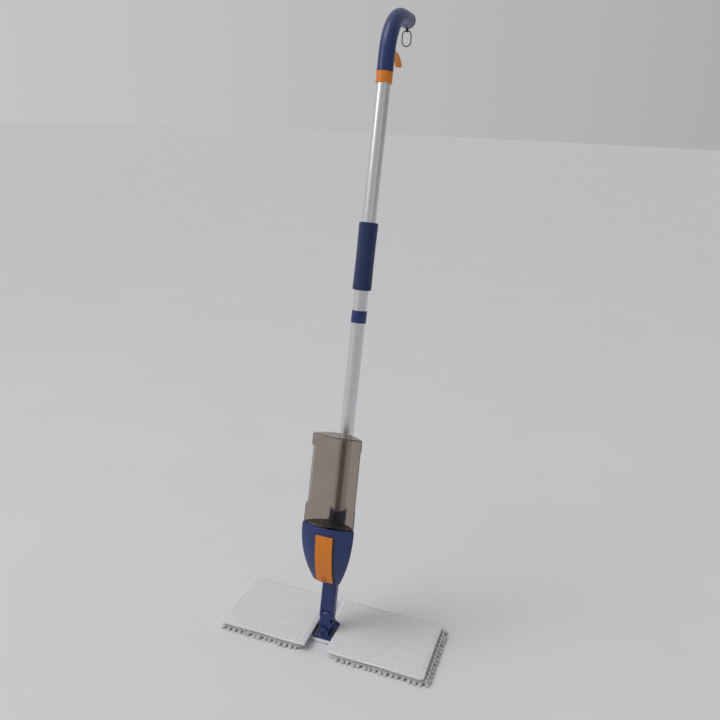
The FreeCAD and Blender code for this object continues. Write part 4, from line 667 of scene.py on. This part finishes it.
def makeBacking(side):
    node, sign = ("pad_left", -1) if side == "left" else ("pad_right", 1)
    low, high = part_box(node)
    far = (low.x if sign < 0 else high.x) - sign * 0.004
    near = low.x if sign > 0 else high.x
    bottom, top = pileLook["backing"]
    inset = 0.004
    deselectAll()
    bpy.ops.mesh.primitive_cube_add(
        size=1, location=((near + far) / 2, (low.y + high.y) / 2, (bottom + top) / 2),
        scale=(abs(far - near), high.y - low.y - 2 * inset, top - bottom))
    backing = newPiece(f"padBacking{side.title()}")
    bpy.ops.object.transform_apply(location=True, rotation=True, scale=True)
    work(backing, "EDIT")
    pickEdges(backing, lambda one, two: abs(one.x - far) < 1e-5 and abs(two.x - far) < 1e-5
              and abs(one.z - two.z) > 0.001)
    bpy.ops.mesh.bevel(offset=padLook["corner"], segments=5, affect="EDGES")
    modify(backing, "BEVEL", width=0.0014, segments=3, limit_method="ANGLE", angle_limit=math.radians(50))
    settle(backing, 50)
    return finishPiece(backing, f"{side}_half", chenille)


def makeNoodle():
    # one finger of chenille, from its root along -Y, drooping at its tip
    radius, long = pileLook["radius"], pileLook["long"]
    deselectAll()
    bpy.ops.mesh.primitive_uv_sphere_add(segments=8, ring_count=8, radius=radius, rotation=(math.pi / 2, 0, 0))
    noodle = newPiece("noodle")
    bpy.ops.object.transform_apply(location=True, rotation=True, scale=True)
    work(noodle, "EDIT")
    bpy.ops.transform.resize(value=(1, long / (2 * radius), 1))
    bpy.ops.transform.translate(value=(0, -long / 2, 0))
    for share in (0.45, 0.62, 0.8):
        knee = -share * long
        pickPoints(noodle, lambda spot: spot.y < knee)
        drop = (1 - share) * long * math.tan(math.radians(pileLook["bend"])) * 0.5
        bpy.ops.transform.translate(value=(0, drop * 0.25, -drop))
    deselectAll()
    return noodle


def placeNoodle(noodle, spot, turn, chance, size=1.0):
    copy = noodle.copy()
    copy.data = noodle.data.copy()
    bpy.context.collection.objects.link(copy)
    copy.location = spot
    copy.rotation_euler = (chance.uniform(-0.10, 0.10), chance.uniform(-0.15, 0.15), turn + chance.gauss(0, 0.12))
    stretch = size * chance.uniform(0.9, 1.1)
    copy.scale = (stretch * chance.uniform(0.92, 1.05), stretch, stretch)
    return copy


def edgeRun(start, end, pitch):
    # evenly spaced spots from one point of an edge to the next
    count = max(1, round(math.dist(start, end) / pitch))
    return [(start[0] + (end[0] - start[0]) * (step + 0.5) / count,
             start[1] + (end[1] - start[1]) * (step + 0.5) / count) for step in range(count)]


def makePile(side):
    node, sign = ("pad_left", -1) if side == "left" else ("pad_right", 1)
    low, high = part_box(node)
    chance = random.Random(pileLook["seed"] + sign)
    noodle = makeNoodle()
    reach, root = pileLook["reach"]["side"], pileLook["rootHeight"]
    far = (low.x if sign < 0 else high.x) - sign * pileLook["reach"][side]
    near = low.x + 0.004 if sign > 0 else high.x - 0.004
    front, back = low.y + reach, high.y - reach
    copies = []
    for x, y in edgeRun((near, front), (far, front), pileLook["pitch"]):
        copies.append(placeNoodle(noodle, (x, y, root), 0, chance))
    for x, y in edgeRun((near, back), (far, back), pileLook["pitch"]):
        copies.append(placeNoodle(noodle, (x, y, root), math.pi, chance))
    for x, y in edgeRun((far, front), (far, back), pileLook["pitch"]):
        copies.append(placeNoodle(noodle, (x, y, root), sign * math.pi / 2, chance))
    for corner in (front, back):
        outward = math.atan2(sign, 1 if corner == front else -1)
        copies.append(placeNoodle(noodle, (far, corner, root), outward, chance))
    rows = int((back - front) / pileLook["rowPitch"])
    columns = round(abs(far - near) / pileLook["pitch"])
    for row in range(rows):
        for column in range(columns):
            x = near + (far - near) * (column + 0.5 + 0.3 * (row % 2)) / columns
            y = front + (row + 1.1) * pileLook["rowPitch"]
            copies.append(placeNoodle(noodle, (x, y, pileLook["underHeight"]), chance.gauss(0, 0.15), chance, 0.95))
    bpy.data.objects.remove(noodle)
    pile = joinPieces(copies, f"chenillePile{side.title()}")
    settle(pile, 70)
    for vertex in pile.data.vertices:
        vertex.co.z = max(vertex.co.z, 0.0002 + 0.0002 * math.sin(vertex.co.x * 900) ** 2)   # lies on the floor
        vertex.co.x = min(max(vertex.co.x, low.x - 0.003), high.x + 0.003)
        vertex.co.y = min(max(vertex.co.y, low.y - 0.003), high.y + 0.003)
    return finishPiece(pile, f"{side}_half", chenille)


def makeMiddleStrip():
    low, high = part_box("pad_strip")
    deselectAll()
    bpy.ops.mesh.primitive_cube_add(
        size=1, location=((low.x + high.x) / 2, (low.y + high.y) / 2, (low.z + high.z) / 2 + 0.0004),
        scale=(high.x - low.x, high.y - low.y, high.z - low.z - 0.0012))
    strip = newPiece("padMiddle")
    bpy.ops.object.transform_apply(location=True, rotation=True, scale=True)
    modify(strip, "REMESH", mode="VOXEL", voxel_size=0.0016)
    modify(strip, "SMOOTH", factor=0.5, iterations=4)
    modify(strip, "SUBSURF", levels=1, render_levels=1)
    for vertex in strip.data.vertices:
        if vertex.normal.z > 0.3:
            vertex.co.z += padLook["ribHeight"] * math.cos(2 * math.pi * vertex.co.y / padLook["ribPitch"])
    settle(strip, 60)
    finishPiece(strip, "head", knitFabric, ["pad_strip"])


def makeHingeCloth(side):
    # the backing runs on from the middle strip to each half
    sign = -1 if side == "left" else 1
    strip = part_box("pad_strip")
    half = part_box(f"pad_{side}")
    near = sign * (strip[1].x - 0.004)
    far = (half[1].x if sign < 0 else half[0].x) + sign * 0.004
    deselectAll()
    bpy.ops.mesh.primitive_cube_add(
        size=1, location=((near + far) / 2, (strip[0].y + strip[1].y) / 2, 0.0034),
        scale=(abs(far - near), strip[1].y - strip[0].y - 0.004, 0.0026))
    cloth = newPiece(f"hingeCloth{side.title()}")
    bpy.ops.object.transform_apply(location=True, rotation=True, scale=True)
    work(cloth, "EDIT")
    for step in range(1, 8):
        bpy.ops.mesh.select_all(action="SELECT")
        bpy.ops.mesh.bisect(plane_co=(near + (far - near) * step / 8, 0, 0), plane_no=(1, 0, 0))
    modify(cloth, "BEVEL", width=0.0008, segments=2, limit_method="ANGLE", angle_limit=math.radians(50))
    settle(cloth, 50)
    cloth.data.materials.append(knitFabric)
    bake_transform(cloth)


def makeBaseShadeSheet():
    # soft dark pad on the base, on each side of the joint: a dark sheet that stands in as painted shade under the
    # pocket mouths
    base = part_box("base_plate")
    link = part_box("joint_link")
    pieces = []
    for sign in (-1, 1):
        near, far = sign * (link[1].x + 0.0006), sign * 0.0208
        deselectAll()
        bpy.ops.mesh.primitive_cube_add(
            size=1, location=((near + far) / 2, 0.001, 0.01055),
            scale=(abs(far - near), 0.038, 0.0011))
        pieces.append(newPiece("shadeSheetHalf"))
    darkShadePiece = joinPieces(pieces, "baseShadeSheet")
    settle(darkShadePiece)
    modify(darkShadePiece, "BEVEL", width=0.0003, segments=2, limit_method="ANGLE", angle_limit=math.radians(50))
    finishPiece(darkShadePiece, "head", softRubber)


for side in ("left", "right"):
    makeCover(side)
    makeHemStitches(side)
    makeBacking(side)
    makePile(side)
    makeHingeCloth(side)
makeMiddleStrip()
makeBaseShadeSheet()
print("pad ready")


# Hard parts: the CAD shape with its sharp edges broken, as a mould leaves them

bodyOf = {node: body for body, nodes in frame["record"]["behaviour"]["bodies"].items() for node in nodes}
slotOf = {subpart["node"]: subpart["material_slot"] for subpart in frame["record"]["subparts"]}
brokenEdges = {
    "housing_front": ("housingFront", 0.0009),
    "housing_rear": ("housingRear", 0.0009),
    "neck": ("neckStrut", 0.0008),
    "joint_link": ("jointLink", 0.0007),
    "base_plate": ("basePlate", 0.0006),
    "left_wing": ("wingLeft", 0.0008),
    "right_wing": ("wingRight", 0.0008),
    "trigger": ("triggerLever", 0.0008),
    "release_latch": ("releasePedal", 0.0005),
    "handle_end_cap": ("handleTip", 0.0006),
    "tank_cap": ("tankCap", 0.0006),
    "tank_dock": ("tankDock", 0.0006),
}


def copyNode(node, name):
    source = frame["nodes"][node]
    piece = source.copy()
    piece.data = source.data.copy()
    bpy.context.collection.objects.link(piece)
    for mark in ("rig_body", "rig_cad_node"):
        del piece[mark]
    piece.parent = None
    piece.name = name
    piece.data.name = name
    work(piece, "EDIT")
    bpy.ops.mesh.select_all(action="SELECT")
    bpy.ops.mesh.remove_doubles(threshold=0.000002)
    bpy.ops.mesh.dissolve_limited(angle_limit=math.radians(0.6))
    deselectAll()
    return piece


def breakEdges(node):
    name, width = brokenEdges[node]
    piece = copyNode(node, name)
    modify(piece, "BEVEL", width=width, segments=2, limit_method="ANGLE", angle_limit=math.radians(38))
    settle(piece, 30)
    return finishPiece(piece, bodyOf[node], finishes[slotOf[node]], [node])


for hardNode in brokenEdges:
    breakEdges(hardNode)
print("hard parts ready")


# Tank: blown bottle with a thumb scoop in each side, a foot rim and a threaded mouth

tankLook = {
    "wall": 0.0016, "voxel": 0.0016, "softer": 9,
    "scoopTop": 0.146, "scoopLow": 0.036,   # up from the tank's foot
    "scoopThick": 0.020, "scoopTurn": 38.4,   # the flat that a scoop leaves faces this far to the front
    "scoopAt": (0.0436, -0.0511),
    "rim": 0.0011, "rimHigh": 0.0022,
    "threads": 2,
}


def makeLensCutter(radius, y, low, high, name):
    deselectAll()
    bpy.ops.mesh.primitive_cylinder_add(vertices=192, radius=radius, depth=high - low + 0.02,
                                        location=(0, y, (low + high) / 2))
    return newPiece(name)


def makeTank():
    low, high = poleBox("tank")
    foot = poleBox("housing_front")[1].z + 0.001
    half, edge = high.x, -0.0505
    frontRise, backRise = edge - low.y, high.y - edge
    frontRadius = (half ** 2 + frontRise ** 2) / (2 * frontRise)
    backRadius = (half ** 2 + backRise ** 2) / (2 * backRise)
    body = makeLensCutter(frontRadius, low.y + frontRadius, foot, high.z, "tankBottle")
    other = makeLensCutter(backRadius, high.y - backRadius, foot + 0.01, high.z - 0.01, "tankBack")
    settle(body)
    settle(other)
    modify(body, "BOOLEAN", object=other, operation="INTERSECT", solver="EXACT")
    bpy.data.objects.remove(other)
    for sign in (-1, 1):
        scoop = makeScoop(sign, foot)
        modify(body, "BOOLEAN", object=scoop, operation="DIFFERENCE", solver="EXACT")
        bpy.data.objects.remove(scoop)
    modify(body, "REMESH", mode="VOXEL", voxel_size=tankLook["voxel"])
    modify(body, "SMOOTH", factor=0.5, iterations=tankLook["softer"])
    shapeFoot(body, foot)
    modify(body, "SOLIDIFY", thickness=tankLook["wall"], offset=-1.0)
    taperTank(body, foot, high.z)
    onPole(body, 80)
    finishPiece(body, "tank", smokePlastic, ["tank"])


def makeScoop(sign, foot):
    # a long rounded bar laid against the corner of the bottle, so that it takes off a shallow slice
    tall = tankLook["scoopTop"] - tankLook["scoopLow"]
    thick = tankLook["scoopThick"]
    deselectAll()
    bpy.ops.mesh.primitive_cube_add(size=1, scale=(thick, 0.05, tall))
    scoop = newPiece("scoop")
    bpy.ops.object.transform_apply(location=True, rotation=True, scale=True)
    work(scoop, "EDIT")
    pickEdges(scoop, lambda one, two: one.z * two.z > 0 and abs(one.x - two.x) > 0.01)
    bpy.ops.mesh.bevel(offset=0.018, segments=8, affect="EDGES")
    deselectAll()
    turn = math.radians(tankLook["scoopTurn"])
    x, y = tankLook["scoopAt"]
    x += thick / 2 * math.cos(turn)
    y -= thick / 2 * math.sin(turn)
    scoop.location = (sign * x, y, foot + tankLook["scoopLow"] + tall / 2)
    scoop.rotation_euler = (0, 0, -sign * turn)
    return settle(scoop)


def shapeFoot(body, foot):
    # the lowest few millimetres flare into a rim that sits on the housing
    for vertex in body.data.vertices:
        up = vertex.co.z - foot
        if up < tankLook["rimHigh"]:
            across = Vector((vertex.co.x, vertex.co.y + 0.0415, 0))
            if across.length > 0.01:
                vertex.co += across.normalized() * tankLook["rim"] * (1 - up / tankLook["rimHigh"])


def taperTank(body, foot, top):
    for vertex in body.data.vertices:
        share = (vertex.co.z - foot) / (top - foot)
        vertex.co.x *= 1 - 0.034 * share
        vertex.co.y = -0.0505 + (vertex.co.y + 0.0505) * (1 - 0.02 * share)


def makeTankMouth():
    cap = poleBox("tank_cap")
    tank = poleBox("tank")
    middle = (cap[0] + cap[1]) / 2
    foot = poleBox("housing_front")[1].z + 0.001
    radius = 0.011
    deselectAll()
    bpy.ops.mesh.primitive_cylinder_add(vertices=48, radius=radius, depth=foot + 0.002 - tank[0].z,
                                        end_fill_type="NOTHING", location=(0, middle.y, (foot + 0.002 + tank[0].z) / 2))
    mouth = newPiece("tankMouth")
    modify(mouth, "SOLIDIFY", thickness=tankLook["wall"], offset=-1.0)
    turns = []
    for step in range(tankLook["threads"]):
        bpy.ops.mesh.primitive_torus_add(major_radius=radius, minor_radius=0.0005, major_segments=48,
                                         minor_segments=8, location=(0, middle.y, tank[0].z + 0.003 + 0.003 * step))
        turns.append(newPiece(f"thread{step}"))
    mouth = joinPieces([mouth] + turns, "tankMouth")
    onPole(mouth)
    finishPiece(mouth, "tank", smokePlastic)


makeTank()
makeTankMouth()
print("tank ready")


# Foam sleeve on the upper tube

foamLook = {"waist": 0.985, "endRound": 0.0026, "seam": 0.00012, "rings": 12}


def makeFoamGrip():
    low, high = poleBox("foam_grip")
    tube = poleBox("upper_tube")[1].x
    radius, middle = high.x, (low.z + high.z) / 2
    deselectAll()
    bpy.ops.mesh.primitive_cylinder_add(vertices=72, radius=radius, depth=high.z - low.z, location=(0, 0, middle))
    grip = newPiece("foamGrip")
    bpy.ops.object.transform_apply(location=True, rotation=True, scale=True)
    work(grip, "EDIT")
    pickFaces(grip, lambda centre, normal: abs(normal.z) > 0.9)
    bpy.ops.mesh.inset(thickness=radius - tube - 0.0004, use_individual=True)
    bpy.ops.mesh.delete(type="FACE")
    pickEdges(grip, lambda one, two: abs(one.z - two.z) < 1e-5 and math.hypot(one.x, one.y) > radius - 0.0002)
    bpy.ops.mesh.bevel(offset=foamLook["endRound"], segments=6, affect="EDGES")
    for step in range(1, foamLook["rings"]):
        bpy.ops.mesh.select_all(action="SELECT")
        level = low.z + (high.z - low.z) * step / foamLook["rings"]
        bpy.ops.mesh.bisect(plane_co=(0, 0, level), plane_no=(0, 0, 1))
    for share in (0.36, 0.24):
        pickPoints(grip, lambda spot: abs(spot.z - middle) < share * (high.z - low.z))
        bpy.ops.transform.resize(value=(foamLook["waist"], foamLook["waist"], 1), center_override=(0, 0, middle))
    deselectAll()
    modify(grip, "SUBSURF", levels=2, render_levels=2)
    texture = bpy.data.textures.new("foamLumps", "CLOUDS")
    texture.noise_scale = 0.006
    modify(grip, "DISPLACE", texture=texture, strength=0.0004, mid_level=0.5, texture_coords="LOCAL")
    onPole(grip, 60)
    finishPiece(grip, "pole", gripFoam, ["foam_grip"])


makeFoamGrip()
print("foam grip ready")


# Small trim on the pole

trimLook = {
    "jointShadowLeft": 0.0009, "jointShadowRight": 0.0024, "jointShadowSunk": 0.0015,
    "shadowRing": 0.0009,
    "hoodRadius": 0.0052, "hoodUp": 0.0058, "hoodProud": 0.0006,
}


def makePanelJointShadow():
    # dark bed that shows as a line round the coloured panel: a thin dark joint, made wider on the right as painted
    # shadow of the raised panel
    low, high = poleBox("nozzle_panel")
    darkShadePiece = copyNode("nozzle_panel", "panelJointShadow")
    darkShadePiece.matrix_world = poleMatrix.inverted()
    settle(darkShadePiece)
    work(darkShadePiece, "EDIT")
    bpy.ops.mesh.select_all(action="SELECT")
    # painted shadow: the dark bed stands out further on the right than on the left
    wide = (high.x - low.x + trimLook["jointShadowLeft"] + trimLook["jointShadowRight"]) / (high.x - low.x)
    tall = 1.012
    middle = (low.z + high.z) / 2
    bpy.ops.transform.resize(value=(wide, 1, tall), center_override=(0, 0, middle))
    bpy.ops.transform.translate(value=((trimLook["jointShadowRight"] - trimLook["jointShadowLeft"]) / 2,
                                       trimLook["jointShadowSunk"], 0))
    deselectAll()
    onPole(darkShadePiece, 30)
    finishPiece(darkShadePiece, "pole", blackPlastic)


def makeNozzleHood():
    low, high = poleBox("nozzle")
    middle = (low + high) / 2
    deselectAll()
    bpy.ops.mesh.primitive_uv_sphere_add(segments=32, ring_count=20, radius=trimLook["hoodRadius"])
    hood = newPiece("nozzleHood")
    work(hood, "EDIT")
    bpy.ops.transform.resize(value=(1.15, 0.42, 1.0), center_override=(0, 0, 0))
    pickPoints(hood, lambda spot: spot.z < -0.001)
    bpy.ops.transform.resize(value=(1, 1, 0.25), center_override=(0, 0, -0.001))
    deselectAll()
    hood.location = (0, low.y - trimLook["hoodProud"], middle.z + trimLook["hoodUp"])
    hood.rotation_euler = (math.radians(-12), 0, 0)
    onPole(hood, 50)
    finishPiece(hood, "pole", orangePlastic)


def makeShadowRing():
    # thin dark joint between the collar and the handle
    collar = poleBox("handle_collar")[1]
    deselectAll()
    bpy.ops.mesh.primitive_cylinder_add(vertices=64, radius=collar.x + 0.00015, depth=trimLook["shadowRing"],
                                        end_fill_type="NOTHING", location=(0, 0, collar.z))
    ring = newPiece("collarJoint")
    modify(ring, "SOLIDIFY", thickness=0.001, offset=-1.0)
    modify(ring, "BEVEL", width=0.0002, segments=2, limit_method="ANGLE", angle_limit=math.radians(50))
    onPole(ring)
    finishPiece(ring, "pole", blackPlastic)


makePanelJointShadow()
makeNozzleHood()
makeShadowRing()
print("trim ready")


# Floor, lights and camera

stageLook = {
    "floorRadius": 30.0,
    "key": {"place": (-2.1, -1.3, 2.2), "size": 1.1, "power": 9.0},
    "fill": {"place": (2.4, -1.9, 1.6), "size": 1.8, "power": 2.0},
    "sun": {"strength": 1.05, "spread": 38.0, "turn": (34.0, 0.0, -58.0)},
    "aim": (0.0, 0.1, 0.5),
    "worldLeft": (0.60, 0.60, 0.605),
    "worldRight": (0.28, 0.28, 0.285),
    "worldStrength": 1.0,
}


def makeFloor():
    bpy.ops.mesh.primitive_circle_add(vertices=96, radius=stageLook["floorRadius"], fill_type="NGON")
    floor = newPiece("floor")
    material, tree, shader, place = startMaterial("paleFloor", **{"Roughness": 0.6})
    moulded = placeGroup(tree, mouldGrain, place, Scale=400.0, Clouds=3.0)
    colour = mixColours(tree, moulded.outputs["Mottle"], (0.70, 0.70, 0.715), (0.74, 0.74, 0.755))
    tree.links.new(colour, shader.inputs["Base Color"])
    addBump(tree, shader, moulded.outputs["Height"], 0.0001)
    floor.data.materials.append(material)


def addLight(name, place, size, power):
    bpy.ops.object.light_add(type="AREA", location=place)
    light = bpy.context.object
    light.name = name
    light.data.shape = "DISK"
    light.data.size = size
    light.data.energy = power
    light.rotation_euler = (Vector(stageLook["aim"]) - Vector(place)).to_track_quat("-Z", "Y").to_euler()


def makeCamera():
    # a tall eye-height look down at the mop from its right, a little tipped
    view = {"place": (0.404016, -1.064061, 0.978685), "down": 19.4786, "left": 18.6465, "tip": 2.3798,
            "lens": 35.58}
    down, left, tip = (math.radians(view[turn]) for turn in ("down", "left", "tip"))
    ahead = Vector((-math.sin(left) * math.cos(down), math.cos(left) * math.cos(down), -math.sin(down)))
    level = Vector((math.cos(left), math.sin(left), 0))
    upright = level.cross(ahead)
    right = level * math.cos(tip) + upright * math.sin(tip)
    up = upright * math.cos(tip) - level * math.sin(tip)
    bpy.ops.object.camera_add(location=view["place"])
    camera = bpy.context.object
    turn = Matrix((right, up, -ahead)).transposed()
    camera.rotation_euler = turn.to_euler()
    camera.data.lens = view["lens"]
    camera.data.sensor_width = 36.0
    camera.data.clip_end = 200.0
    bpy.context.scene.camera = camera


deselectAll()
makeFloor()
for lamp in ("key", "fill"):
    addLight(lamp, **stageLook[lamp])
bpy.ops.object.light_add(type="SUN", rotation=[math.radians(turn) for turn in stageLook["sun"]["turn"]])
sun = bpy.context.object
sun.name = "softSun"
sun.data.energy = stageLook["sun"]["strength"]
sun.data.angle = math.radians(stageLook["sun"]["spread"])
world = bpy.data.worlds.new("softRoom")
bpy.context.scene.world = world
world.use_nodes = True
sky = world.node_tree
around = addNode(sky, "ShaderNodeTexCoord")
compass = addNode(sky, "ShaderNodeSeparateXYZ")
sky.links.new(around.outputs["Generated"], compass.inputs[0])
across = addNode(sky, "ShaderNodeMapRange", {"From Min": -1.0, "From Max": 1.0})
sky.links.new(compass.outputs["X"], across.inputs["Value"])
glow = mixColours(sky, across.outputs["Result"], stageLook["worldLeft"], stageLook["worldRight"])
sky.links.new(glow, sky.nodes["Background"].inputs["Color"])
sky.nodes["Background"].inputs["Strength"].default_value = stageLook["worldStrength"]
bpy.context.scene.view_settings.view_transform = "Standard"
makeCamera()
print("stage ready")
